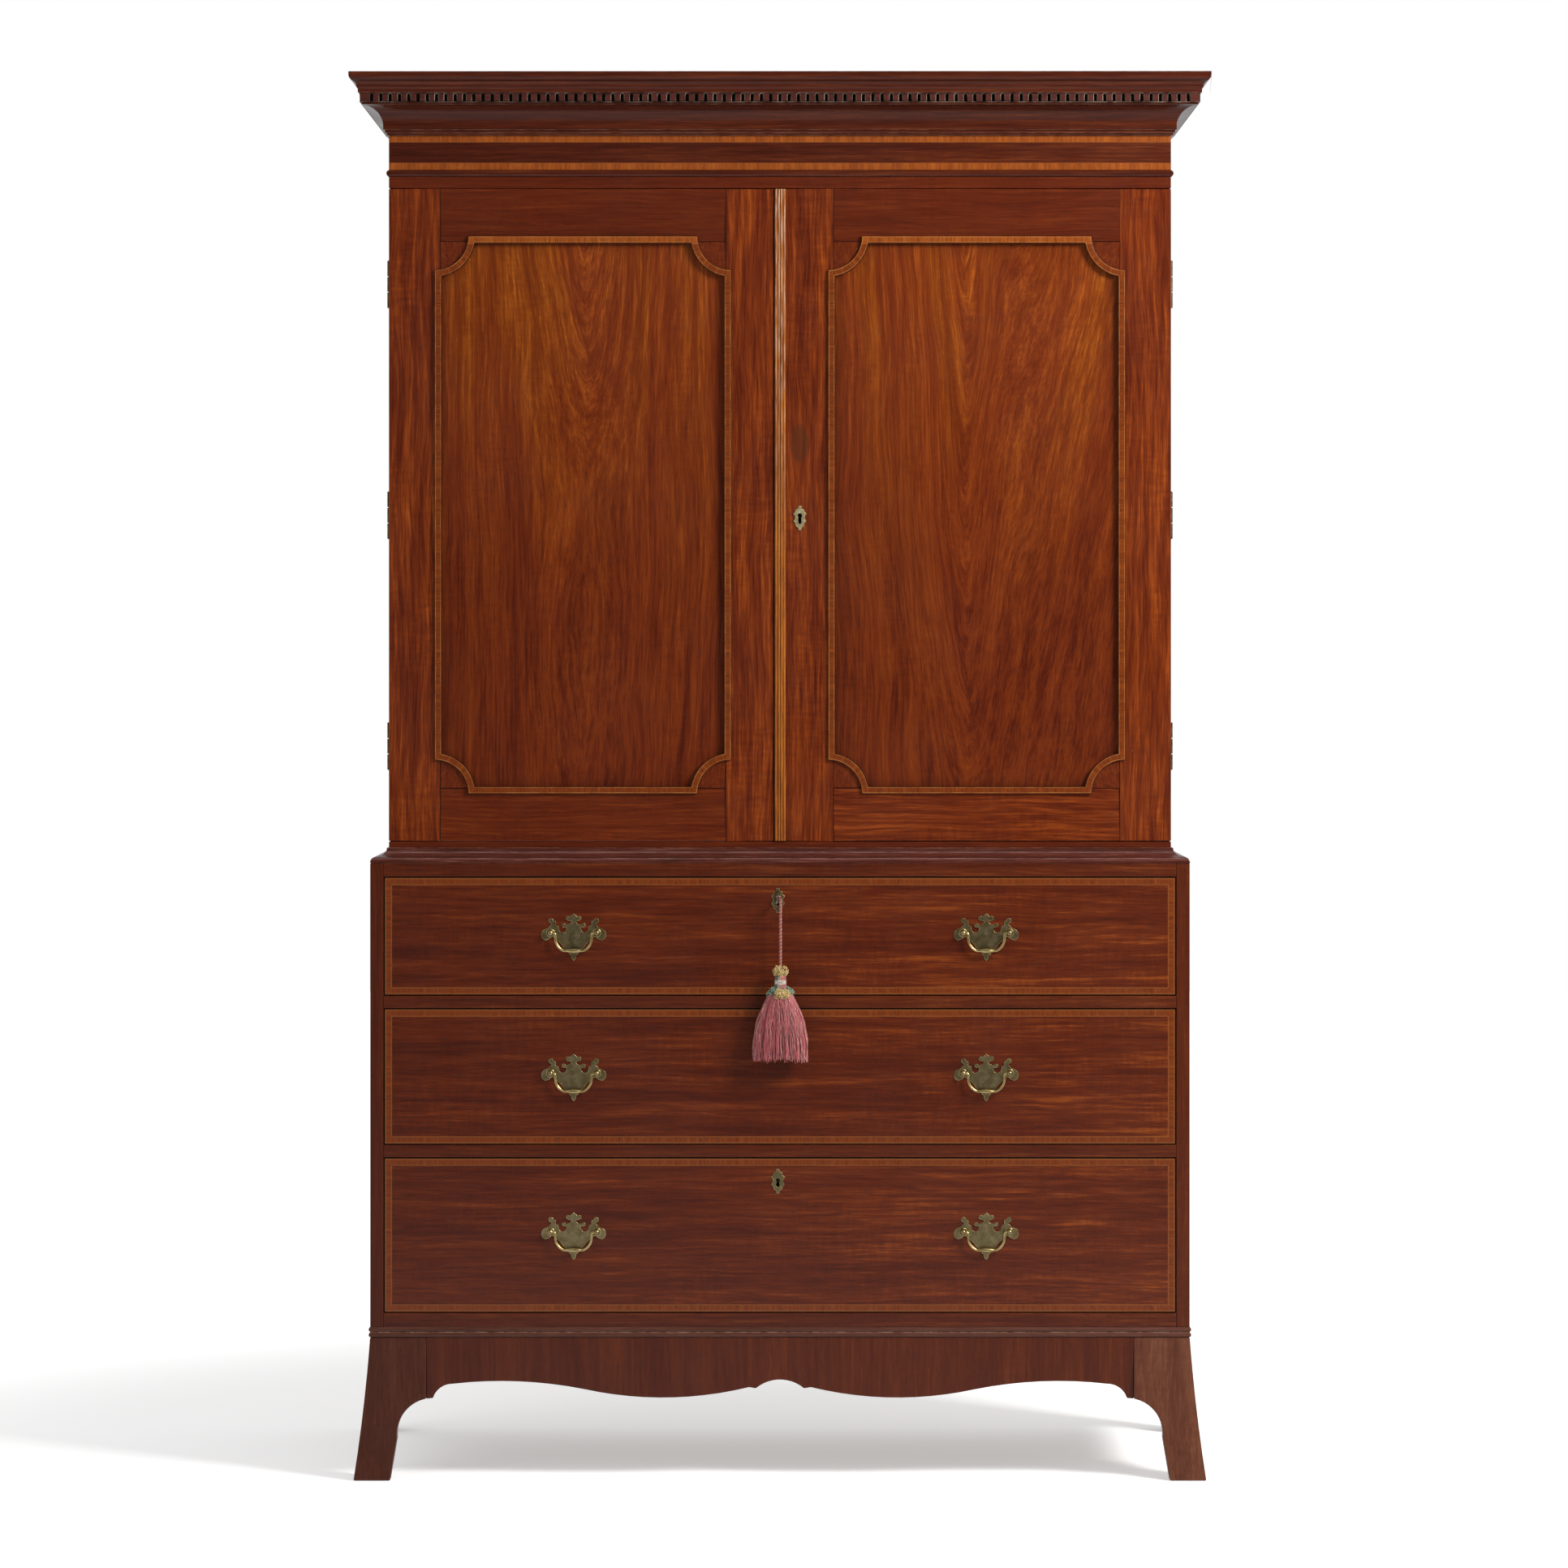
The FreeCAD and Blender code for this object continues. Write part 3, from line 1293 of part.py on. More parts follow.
def key():
    """A key with a ring bow, turned a little past upright."""
    bow_y = base_front - BOW_REACH
    axis, inner_face = (key_x, key_z), base_front + front_thickness
    shank = rod("key_shank", "y", key_radius, axis, bow_y + bow_radius, inner_face - 2.5)
    collar = rod("key_collar", "y", key_radius + 1.4, axis, base_front - 4.5, base_front - 2.5)
    bit = box("key_bit", (key_x - 1.5, key_x + 1.5), (inner_face - lock_depth + 2, inner_face - 3),
              (key_z - ward_radius + 1, key_z))
    bow = doc.addObject("Part::Torus", "key_bow")
    bind(bow, "Radius1", bow_radius)
    bind(bow, "Radius2", bow_wire)
    bow.Placement = Placement(Vector(), Rotation(Vector(0, 1, 0), 90 + BOW_LEAN))
    put(bow, key_x, bow_y, key_z)
    node("key", [fuse("key_whole", [shank, collar, bit, bow])])


def tassel():
    """A cord looped through the key's bow, with a tassel at its end."""
    top = key_z + 1.5
    foot = top - cord_length
    along = Rotation(Vector(0, 1, 0), BOW_LEAN).multVec(
        Vector(0, math.sin(math.radians(LOOP_CLIMB)), math.cos(math.radians(LOOP_CLIMB))))
    climb = bow_radius.value * math.sin(math.radians(LOOP_CLIMB))
    out = bow_radius.value * math.cos(math.radians(LOOP_CLIMB))
    loop = doc.addObject("Part::Torus", "cord_loop")
    bind(loop, "Radius1", bow_wire + 1.9)
    loop.Radius2 = 1.2
    loop.Placement = Placement(Vector(), Rotation(Vector(0, 0, 1), along))
    put(loop, key_x + climb * math.sin(math.radians(BOW_LEAN)), base_front - BOW_REACH - out,
        key_z + climb * math.cos(math.radians(BOW_LEAN)))
    end = doc.addObject("Part::Sphere", "cord_end")
    bind(end, "Radius", cord_radius)
    put(end, cord_x, cord_y, top)
    hanging = rod("cord_hanging", "z", cord_radius, (cord_x, cord_y), foot, top)
    node("tassel_cord", [fuse("cord_whole", [loop, end, hanging])])

    half_width, length = tassel_width.value / 2, tassel_length.value
    sections = (
        (0, 0.13, 5), (0.008, 0.28, 9), (0.1, 0.28, 9), (0.11, 0.19, 7.5), (0.235, 0.24, 9),
        (0.25, 0.5, 13), (0.36, 0.52, 14), (0.42, 0.45, 14), (0.7, 0.75, 17), (1, 1, 20),
    )
    rings = []
    for drop, share, depth in sections:
        centre = Vector(cord_x.value, cord_y.value, foot.value - drop * length)
        across, deep = half_width * share, min(depth, half_width * share)
        oval = Part.Ellipse(centre + Vector(across + 0.001, 0, 0), centre + Vector(0, deep, 0), centre)
        rings.append(Part.Wire(oval.toShape()))
    piece = doc.addObject("Part::Feature", "tassel_body")
    piece.Shape = Part.makeLoft(rings, True, True)
    node("tassel", [piece])


# ---------------------------------------------------------------- build and write

def check_and_write():
    doc.recompute()
    for item in doc.Objects:
        if "Invalid" in item.State or "Error" in item.State:
            raise RuntimeError(f"{item.Name}: {item.State}")
    os.makedirs("parts", exist_ok=True)
    for name, item in nodes.items():
        shape = item.Shape
        if shape.isNull() or not shape.isValid() or not shape.Solids:
            raise RuntimeError(f"{name}: the shape is not sound")
        shape.exportStep(f"parts/{name}.step")
    print(f"{len(nodes)} nodes, {sum(len(item.Shape.Solids) for item in nodes.values())} solids")


base_carcase()
base_mouldings()
feet()
aprons()
press_carcase()
linen_slides()
cornice()
dentil_course()
left_door()
right_door()
door_hinges()
drawers()
key()
tassel()
check_and_write()
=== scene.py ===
import math
import random

import bmesh
import bpy
from mathutils import Matrix, Vector


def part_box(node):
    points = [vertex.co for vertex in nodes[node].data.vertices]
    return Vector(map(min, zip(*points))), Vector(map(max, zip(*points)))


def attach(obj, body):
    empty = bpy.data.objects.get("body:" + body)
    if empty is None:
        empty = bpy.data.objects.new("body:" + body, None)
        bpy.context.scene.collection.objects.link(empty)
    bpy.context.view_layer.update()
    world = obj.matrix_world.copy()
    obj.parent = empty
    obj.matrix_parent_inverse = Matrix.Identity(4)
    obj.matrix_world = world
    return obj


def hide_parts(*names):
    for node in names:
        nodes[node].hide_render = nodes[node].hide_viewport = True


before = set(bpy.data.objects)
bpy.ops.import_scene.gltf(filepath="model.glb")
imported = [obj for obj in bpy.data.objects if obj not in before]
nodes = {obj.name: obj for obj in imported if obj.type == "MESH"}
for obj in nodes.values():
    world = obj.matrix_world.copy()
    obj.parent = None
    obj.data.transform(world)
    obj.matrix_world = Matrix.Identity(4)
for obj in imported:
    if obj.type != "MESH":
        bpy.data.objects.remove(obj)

scene = bpy.context.scene
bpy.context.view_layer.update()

# ------------------------ camera and lamps

EYE = Vector((0.006, -8.765, 1.22))
FRONT_DEPTH = 8.5        # from the eye to the drawers' faces
VIEW_WIDTH = 2.3184      # what the picture takes in at that depth
VIEW_MIDDLE = 1.027      # height of the picture's middle there


def placed(name, data):
    """A new object in the scene."""
    made = bpy.data.objects.new(name, data)
    scene.collection.objects.link(made)
    return made


def camera():
    data = bpy.data.cameras.new("camera")
    eye = placed("camera", data)
    data.sensor_width = 36
    data.lens = data.sensor_width * FRONT_DEPTH / VIEW_WIDTH
    data.shift_y = (VIEW_MIDDLE - EYE.z) / VIEW_WIDTH
    data.clip_end = 60
    eye.location = EYE
    eye.rotation_euler = (math.radians(90), 0, 0)
    scene.camera = eye


def lamp(name, size, power, spot, target, colour=(1, 1, 1)):
    data = bpy.data.lights.new(name, "AREA")
    data.shape = "RECTANGLE"
    data.size, data.size_y = size
    data.energy = power
    data.color = colour
    light = placed(name, data)
    light.location = spot
    light.rotation_euler = (Vector(target) - Vector(spot)).to_track_quat("-Z", "Y").to_euler()


# ------------------------ shader building

class Signal:
    """What a shader node gives. Plain sums and comparisons with it make further nodes."""

    def __init__(self, socket):
        self.socket = socket
        self.tree = socket.node.id_data

    def __add__(self, other):
        return reckon("ADD", self, other)

    def __sub__(self, other):
        return reckon("SUBTRACT", self, other)

    def __mul__(self, other):
        return reckon("MULTIPLY", self, other)

    def __truediv__(self, other):
        return reckon("DIVIDE", self, other)

    def __lt__(self, other):
        return reckon("LESS_THAN", self, other)

    def __gt__(self, other):
        return reckon("GREATER_THAN", self, other)

    def __radd__(self, other):
        return reckon("ADD", other, self)

    def __rsub__(self, other):
        return reckon("SUBTRACT", other, self)

    def __abs__(self):
        return reckon("ABSOLUTE", self)


def feed(socket, value):
    """Links a signal to a socket, or sets its plain value."""
    if isinstance(value, Signal):
        value.tree.links.new(value.socket, socket)
    else:
        socket.default_value = value


def new_node(kind, feeds, tree=None, **options):
    """A new node, in the tree that its feeds come from unless another is given."""
    tree = tree or next(value.tree for value in feeds.values() if isinstance(value, Signal))
    made = tree.nodes.new(kind)
    for name, value in options.items():
        setattr(made, name, value)
    for name, value in feeds.items():
        feed(made.inputs[name], value)
    return made


def place(kind, feeds=None, give=0, tree=None, **options):
    """What a new node gives."""
    return Signal(new_node(kind, feeds or {}, tree, **options).outputs[give])


def reckon(operation, *values):
    return place("ShaderNodeMath", dict(enumerate(values)), operation=operation)


def least(first, second):
    return reckon("MINIMUM", first, second)


def parts(vector):
    return [Signal(socket) for socket in new_node("ShaderNodeSeparateXYZ", {0: vector}).outputs]


def joined(x, y, z):
    return place("ShaderNodeCombineXYZ", {0: x, 1: y, 2: z})


def length(vector):
    return place("ShaderNodeVectorMath", {0: vector}, "Value", operation="LENGTH")


def scaled(vector, factor):
    """A vector times a plain vector."""
    return place("ShaderNodeVectorMath", {0: vector, 1: factor}, operation="MULTIPLY")


def spread(value, low, high, start=0.0, end=1.0):
    """A value taken smoothly from low..high to start..end."""
    return place("ShaderNodeMapRange", {0: value, 1: low, 2: high, 3: start, 4: end},
                 interpolation_type="SMOOTHSTEP")


def within(value, low, high, soft):
    """1 where a value lies between low and high, falling off over soft."""
    return spread(value, low - soft, low + soft) * spread(value, high - soft, high + soft, 1.0, 0.0)


def blended(share, first, second, how="MIX"):
    """A colour between two colours, or the first with the second worked into it."""
    return place("ShaderNodeMix", {0: share, 6: first, 7: second}, 2, data_type="RGBA", blend_type=how)


def crossed(share, first, second):
    """A vector between two vectors."""
    return place("ShaderNodeMix", {0: share, 4: first, 5: second}, 1, data_type="VECTOR")


def picked(share, first, second):
    """A value between two values."""
    return place("ShaderNodeMix", {0: share, 2: first, 3: second}, data_type="FLOAT")


def mottle(vector, detail=2.0, rough=0.5, twist=0.0):
    return place("ShaderNodeTexNoise", {"Vector": vector, "Scale": 1.0, "Detail": detail, "Roughness": rough,
                                        "Distortion": twist})


def bumped(height, strength, distance):
    return place("ShaderNodeBump", {"Strength": strength, "Distance": distance, "Height": height})


def ramp(value, stops):
    """A colour from stops, each a position with its red, green and blue."""
    made = new_node("ShaderNodeValToRGB", {0: value})
    marks = made.color_ramp.elements
    while len(marks) < len(stops):
        marks.new(0.5)
    for mark, (position, *colour) in zip(marks, stops):
        mark.position = position
        mark.color = (*colour, 1)
    return Signal(made.outputs[0])


def ray_kinds(tree):
    """Whether a ray comes straight from the eye or through glass, and whether it is mirrored."""
    paths = {socket.name: Signal(socket) for socket in new_node("ShaderNodeLightPath", {}, tree).outputs}
    return reckon("MAXIMUM", paths["Is Camera Ray"], paths["Is Transmission Ray"]), paths["Is Glossy Ray"]


def cleared_tree(owner):
    """The empty node tree of a material or a world."""
    owner.use_nodes = True
    owner.node_tree.nodes.clear()
    return owner.node_tree


VECTORS = ("Vector", "Low", "High", "Middle")    # the groups' sockets for vectors; the others hold values


def new_group(name, takes, gives):
    """A shader group, the signals it takes in by name and the sockets it gives out at."""
    tree = bpy.data.node_groups.new(name, "ShaderNodeTree")
    for labels, way in ((takes, "INPUT"), (gives, "OUTPUT")):
        for label in labels.split():
            kind = "NodeSocketVector" if label in VECTORS else "NodeSocketFloat"
            tree.interface.new_socket(label, in_out=way, socket_type=kind)
    inlet = tree.nodes.new("NodeGroupInput")
    taken = {socket.name: Signal(socket) for socket in inlet.outputs if socket.name}
    return tree, taken, tree.nodes.new("NodeGroupOutput").inputs


def use(group, feeds):
    """What a shared effect gives."""
    return [Signal(socket) for socket in new_node("ShaderNodeGroup", feeds, node_tree=group).outputs]


# ------------------------ shared effects

def grain_turner():
    """Turns coordinates so that the grain runs along their Z: upright, across or from front to back."""
    tree, takes, gives = new_group("grain direction", "Vector Upright Deep", "Vector")
    x, y, z = parts(takes["Vector"])
    either = crossed(takes["Upright"], joined(z, y, x), takes["Vector"])
    feed(gives["Vector"], crossed(takes["Deep"], either, joined(x, z, y)))
    return tree


def wood_grain():
    """Broad bands, fine streaks, short pores and cross ripple of a board whose grain runs along Z."""
    tree, takes, gives = new_group("wood grain", "Vector Band Run Wander", "Tone Pores Ripple")
    sway = mottle(scaled(takes["Vector"], (9, 9, 4.5)), 2.0)
    x, y, z = parts(takes["Vector"])
    x = x + (sway - 0.5) * takes["Wander"]
    wide = joined(x / takes["Band"], y / takes["Band"], z / takes["Run"])
    straight = joined(x, y, z)
    broad = mottle(wide, 2.0, 0.5, 0.25)
    lines = mottle(scaled(wide, (4.2, 4.2, 3.0)), 2.0, 0.6)
    streaks = mottle(scaled(straight, (300, 300, 17)), 2.0, 0.55)
    fibres = mottle(scaled(straight, (800, 800, 30)), 1.0, 0.6)
    feed(gives["Tone"], spread(broad * 0.32 + lines * 0.26 + streaks * 0.26 + fibres * 0.16, 0.33, 0.67))
    ticks = mottle(scaled(straight, (900, 900, 60)), 1.0)
    feed(gives["Pores"], spread(ticks, 0.58, 0.7))
    bars = mottle(scaled(straight, (40, 40, 170)), 1.0, 0.5, 0.3)
    patch = spread(mottle(scaled(straight, (16, 16, 6)), 1.0), 0.38, 0.62)
    feed(gives["Ripple"], (bars - 0.5) * patch)
    return tree


def insets(takes):
    """A place's x and z, and how far in it lies from an upright rectangle's sides and from its ends."""
    x, _, z = parts(takes["Vector"])
    low_x, _, low_z = parts(takes["Low"])
    high_x, _, high_z = parts(takes["High"])
    return x, z, least(x - low_x, high_x - x), least(z - low_z, high_z - z)


def rectangle_edge():
    """The distance in from the nearest edge of an upright rectangle, and coordinates for a band along
    its edges, whose grain runs in from the edge."""
    tree, takes, gives = new_group("rectangle edge", "Vector Low High", "Distance Vector")
    x, z, in_x, in_z = insets(takes)
    distance = least(in_x, in_z)
    upright = in_x < in_z
    feed(gives["Distance"], distance)
    feed(gives["Vector"], joined(picked(upright, x, z), upright * 3.0, distance))
    return tree


def hollowed_ring():
    """The distance in from the outline of an upright rectangle with hollowed corners, and coordinates
    for a band that follows it."""
    tree, takes, gives = new_group("hollowed ring", "Vector Low High Hollow", "Distance Vector")
    x, z, in_x, in_z = insets(takes)
    square = least(in_x, in_z)
    hollow = length(joined(in_x, 0.0, in_z)) - takes["Hollow"]
    round_part = hollow < square
    upright = in_x < in_z
    turn = reckon("ARCTAN2", in_z, in_x) * takes["Hollow"]
    along = picked(round_part, picked(upright, x, z), turn)
    distance = least(square, hollow)
    feed(gives["Distance"], distance)
    feed(gives["Vector"], joined(along, upright * 3.0 + round_part * 5.0, distance))
    return tree


def cathedral_figure():
    """Bends upright grain into nested arches that point down about a middle line, and leans it."""
    tree, takes, gives = new_group("cathedral figure", "Vector Middle Slope Lean", "Vector")
    local = place("ShaderNodeVectorMath", {0: takes["Vector"], 1: takes["Middle"]}, operation="SUBTRACT")
    bend = mottle(scaled(local, (5, 5, 2.2)), 2.0)
    x, _, z = parts(local)
    leaning = z * takes["Lean"] * spread(x, 0.0, 0.12)
    x = x + (bend - 0.5) * 0.05
    square = x * x
    bowed = reckon("SQRT", square + 0.0001)
    climb = z * takes["Slope"] / (1.0 + square * 330.0)
    feed(gives["Vector"], joined(bowed - climb - leaning, x * 0.5, z))
    return tree


def surface_wear():
    """Small pale nicks, hazy patches and a fine waviness left by hand polishing."""
    tree, takes, gives = new_group("surface wear", "Vector", "Nicks Haze Height")
    cells = new_node("ShaderNodeTexVoronoi", {"Vector": takes["Vector"], "Scale": 17.0})
    pick = place("ShaderNodeSeparateColor", {0: Signal(cells.outputs["Color"])})
    ragged = Signal(cells.outputs["Distance"]) + mottle(scaled(takes["Vector"], (900, 900, 900))) * 0.03
    feed(gives["Nicks"], (ragged < 0.033) * (pick > 0.86))
    feed(gives["Haze"], spread(mottle(scaled(takes["Vector"], (7, 7, 5)), 4.0, 0.6), 0.35, 0.7))
    feed(gives["Height"], mottle(scaled(takes["Vector"], (30, 30, 22)), 2.0))
    return tree


AROUND = 2 * math.pi
WHITE = (1, 1, 1, 1)
MITRE = 0.341            # half width plus depth, along the mitres of the front corners
BAIL_RADIUS = 0.0019
POST_SPREAD = 0.0343     # from a handle's middle to each post
PLATE_THICKNESS = 0.0016
ROSETTE_RADIUS = 0.0055
ROSETTE_WIRE = 0.0008

GRAIN_TURNER = grain_turner()
WOOD_GRAIN = wood_grain()
RECTANGLE_EDGE = rectangle_edge()
HOLLOWED_RING = hollowed_ring()
CATHEDRAL = cathedral_figure()
WEAR = surface_wear()

# ------------------------ wood finishes

RED_MAHOGANY = [(0.0, 0.05, 0.0065, 0.0028), (0.3, 0.096, 0.014, 0.0036), (0.6, 0.148, 0.0245, 0.0044),
                (0.82, 0.225, 0.043, 0.0058), (1.0, 0.35, 0.08, 0.009)]
PANEL_MAHOGANY = [(0.0, 0.06, 0.008, 0.003), (0.3, 0.108, 0.016, 0.0036), (0.6, 0.15, 0.025, 0.0042),
                  (0.85, 0.215, 0.042, 0.0055), (1.0, 0.32, 0.072, 0.008)]
DARK_MAHOGANY = [(0.0, 0.06, 0.0095, 0.0035), (0.4, 0.085, 0.013, 0.004), (0.7, 0.104, 0.017, 0.0045),
                 (1.0, 0.15, 0.0275, 0.006)]
BASE_MAHOGANY = [(0.0, 0.046, 0.0075, 0.0033), (0.35, 0.07, 0.0115, 0.0038), (0.65, 0.092, 0.0165, 0.0045),
                 (0.85, 0.128, 0.026, 0.0056), (1.0, 0.19, 0.045, 0.008)]
FOOT_MAHOGANY = [(0.0, 0.056, 0.015, 0.0085), (0.4, 0.08, 0.023, 0.013), (0.7, 0.116, 0.037, 0.019),
                 (1.0, 0.17, 0.06, 0.031)]
BAND_MAHOGANY = [(0.0, 0.1, 0.018, 0.004), (0.4, 0.14, 0.027, 0.005), (0.7, 0.18, 0.037, 0.006),
                 (1.0, 0.25, 0.056, 0.009)]
FRIEZE_MAHOGANY = [(0.0, 0.036, 0.0065, 0.003), (0.4, 0.056, 0.0098, 0.0042), (0.7, 0.08, 0.015, 0.005),
                   (1.0, 0.13, 0.028, 0.008)]
BEAD_MAHOGANY = [(0.0, 0.052, 0.016, 0.0095), (0.4, 0.082, 0.027, 0.0165), (0.7, 0.112, 0.04, 0.026),
                 (1.0, 0.18, 0.075, 0.052)]
WAIST_MAHOGANY = [(0.0, 0.04, 0.008, 0.0045), (0.4, 0.066, 0.013, 0.0075), (0.7, 0.095, 0.022, 0.014),
                  (1.0, 0.19, 0.075, 0.055)]
FRIEZE_BAND = [(0.0, 0.13, 0.026, 0.005), (0.4, 0.21, 0.048, 0.008), (0.7, 0.28, 0.068, 0.01),
               (1.0, 0.38, 0.1, 0.015)]
DENTIL_MAHOGANY = [(0.0, 0.04, 0.008, 0.005), (0.5, 0.062, 0.012, 0.007), (1.0, 0.095, 0.019, 0.01)]
REED_MAHOGANY = [(0.0, 0.125, 0.027, 0.003), (0.4, 0.235, 0.062, 0.005), (0.75, 0.34, 0.102, 0.008),
                 (1.0, 0.46, 0.165, 0.016)]
OAK = [(0.0, 0.17, 0.083, 0.032), (0.45, 0.29, 0.156, 0.065), (1.0, 0.42, 0.25, 0.115)]
PINE = [(0.0, 0.105, 0.048, 0.019), (0.5, 0.205, 0.103, 0.042), (1.0, 0.31, 0.17, 0.075)]
STRINGING = (0.28, 0.1, 0.022, 1)
# a dark line for real joints, also laid as painted shade in gaps, hollows and along edges
DARK_LINE = (0.018, 0.007, 0.004, 1)
PALE_EDGE = (0.42, 0.22, 0.12, 1)

PINE_GRAIN = dict(band=0.03, run=0.5, wander=0.03, ripple=0.0, pores=0.1)
BARE = dict(rough=0.6, gloss=0.25, bump=0.15, nicks=0.0)      # wood without varnish
SURFACE_LOOKS = ("rough", "haze", "nicks", "bump", "grain_bump", "gloss")
BAND_WIDTH = 0.01        # of the cross-grained bands round the drawers and along the frieze
RING_HOLLOW = 0.05       # radius of the hollowed corners of the doors' mouldings
FRIEZE_FOOT, FRIEZE_HEAD = 1.9374, 1.9882
BACK = 0.295             # the plane of the back
STAIN_MIDDLE, STAIN_REACH = (0.0288, 1.532), (0.0145, 0.0285)
REED_TIP, REED_SIDE, REED_VALLEY = -0.2423, -0.2408, -0.2398
HALF_RIGHT = 0.7071      # sine and cosine of the corner pieces' slant


class Finish:
    """One material, with its coordinates, its colour and the height of its surface."""

    def __init__(self, name):
        self.material = bpy.data.materials.new(name)
        self.tree = cleared_tree(self.material)
        self.where = place("ShaderNodeTexCoord", give="Object", tree=self.tree)
        self.x, self.y, self.z = parts(self.where)

    def turned(self, upright, deep=0.0):
        return use(GRAIN_TURNER, {"Vector": self.where, "Upright": upright, "Deep": deep})[0]

    def mottled(self, factor, detail=2.0, rough=0.5):
        return mottle(scaled(self.where, factor), detail, rough)

    def outline(self, group, node, **feeds):
        """The distance in from a node's outline and coordinates along it, by a shared effect."""
        low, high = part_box(node)
        return use(group, {"Vector": self.where, "Low": low, "High": high, **feeds})

    def grain(self, direction):
        """Coordinates for grain that runs upright, across, deep (front to back) or round mitred corners."""
        if direction == "mitred":
            return self.turned(0.0, abs(self.x) + self.y > MITRE)
        return self.turned(float(direction == "upright"), float(direction == "deep"))

    def board(self, grain, shades, band=0.02, run=0.5, wander=0.02, ripple=0.5, pores=0.35, depth=0.8,
              lift=None, rightward=0.0):
        """The colour and height of a board, with painted light making it paler towards the right by the
        given share, as lit by the lamp on that side. The grain is its direction's name or its own
        coordinates."""
        vector = self.grain(grain) if isinstance(grain, str) else grain
        tone, ticks, bars = use(WOOD_GRAIN, {"Vector": vector, "Band": band, "Run": run, "Wander": wander})
        tone = tone * depth + (0.5 - 0.5 * depth) + bars * ripple
        if lift is not None:
            tone = tone + lift
        # painted light: paler towards the right, where the key lamp stands
        if rightward:
            tone = tone + self.x * rightward
        return blended(ticks * pores, ramp(tone, shades), (0.02, 0.006, 0.003, 1)), ticks

    def wood(self, grain, shades, **looks):
        """Starts the surface as a board."""
        self.colour, self.height = self.board(grain, shades, **looks)

    def lay(self, share, colour, how="MIX"):
        """Lays a colour over the present one."""
        self.colour = blended(share, self.colour, colour, how)

    def close(self, rough=0.2, haze=0.07, nicks=0.6, bump=0.06, grain_bump=0.15, gloss=0.25):
        """The varnished or bare surface of the wood."""
        dots, patches, waves = use(WEAR, {"Vector": self.where})
        self.lay(dots * nicks, PALE_EDGE)
        roughness = patches * haze + rough + self.height * 0.06
        relief = bumped(waves + self.height * -grain_bump, bump, 0.004)
        return self.skin({"Roughness": roughness, "Specular IOR Level": gloss, "Normal": relief})

    def skin(self, feeds):
        """The material, with its colour under one skin."""
        return self.show(place("ShaderNodeBsdfPrincipled", {"Base Color": self.colour, **feeds}))

    def show(self, shader):
        feed(self.tree.nodes.new("ShaderNodeOutputMaterial").inputs[0], shader)
        return self.material


def joined_boards(name, node, count):
    """Upright pine boards edge to edge, each with a grain of its own, and dark joints between them."""
    finish = Finish(name)
    low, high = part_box(node)
    along = (finish.x - low.x) / ((high.x - low.x) / count)
    board = reckon("FLOOR", along)
    moved = joined(board * 3.7, board, board * 5.3)
    vector = place("ShaderNodeVectorMath", {0: finish.turned(1.0), 1: moved}, operation="ADD")
    own = place("ShaderNodeTexWhiteNoise", {"W": board}, "Value", noise_dimensions="1D")
    finish.wood(vector, PINE, lift=spread(own, 0.0, 1.0, -0.15, 0.15), **PINE_GRAIN)
    off = abs(along - reckon("ROUND", along))
    finish.lay(spread(off, 0.002, 0.006, 0.85, 0.0), DARK_LINE)
    return finish.close(**BARE)


def plain_board(name, shades, direction, **looks):
    """A material for boards whose grain all runs one way. The looks are those of wood and close."""
    finish = Finish(name)
    surface = {key: looks.pop(key) for key in SURFACE_LOOKS if key in looks}
    finish.wood(direction, shades, **looks)
    return finish.close(**surface)


def in_band(inward):
    return spread(inward, BAND_WIDTH - 0.0002, BAND_WIDTH + 0.0002, 1.0, 0.0)


def drawer_wood(number):
    """Grain across, with a cross-grained band, a pale string, a pale line and painted shadow along the
    outer edge, where the gap round the drawer shades it.
    """
    finish = Finish(f"drawer front {number}")
    node = f"drawer_{number}_front"
    # the share towards the right is painted light from the lamp on that side
    finish.wood("across", BASE_MAHOGANY, band=0.022, run=0.4, wander=0.012, ripple=0.35,
                depth=0.92, rightward=0.2)
    finish.lay(1.0, (1.13, 1.0, 0.8, 1), "MULTIPLY")
    inward, band_vector = finish.outline(RECTANGLE_EDGE, node)
    band = finish.board(band_vector, BAND_MAHOGANY, band=0.006, run=0.05, wander=0.004, ripple=0.0)[0]
    front = finish.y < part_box(node)[0].y + 0.002
    finish.lay(in_band(inward) * front, band)
    string = within(inward, BAND_WIDTH, BAND_WIDTH + 0.0012, 0.0002)
    finish.lay(string * front * 0.55, STRINGING)
    finish.lay(spread(inward, 0.0018, 0.0032, 1.0, 0.0) * front * 0.5, STRINGING)
    # painted shadow: the outer edge darkened as the gap round the drawer shades it
    finish.lay(spread(inward, 0.0009, 0.0017, 0.8, 0.0) * front, DARK_LINE)
    return finish.close(rough=0.24, gloss=0.3, haze=0.05)


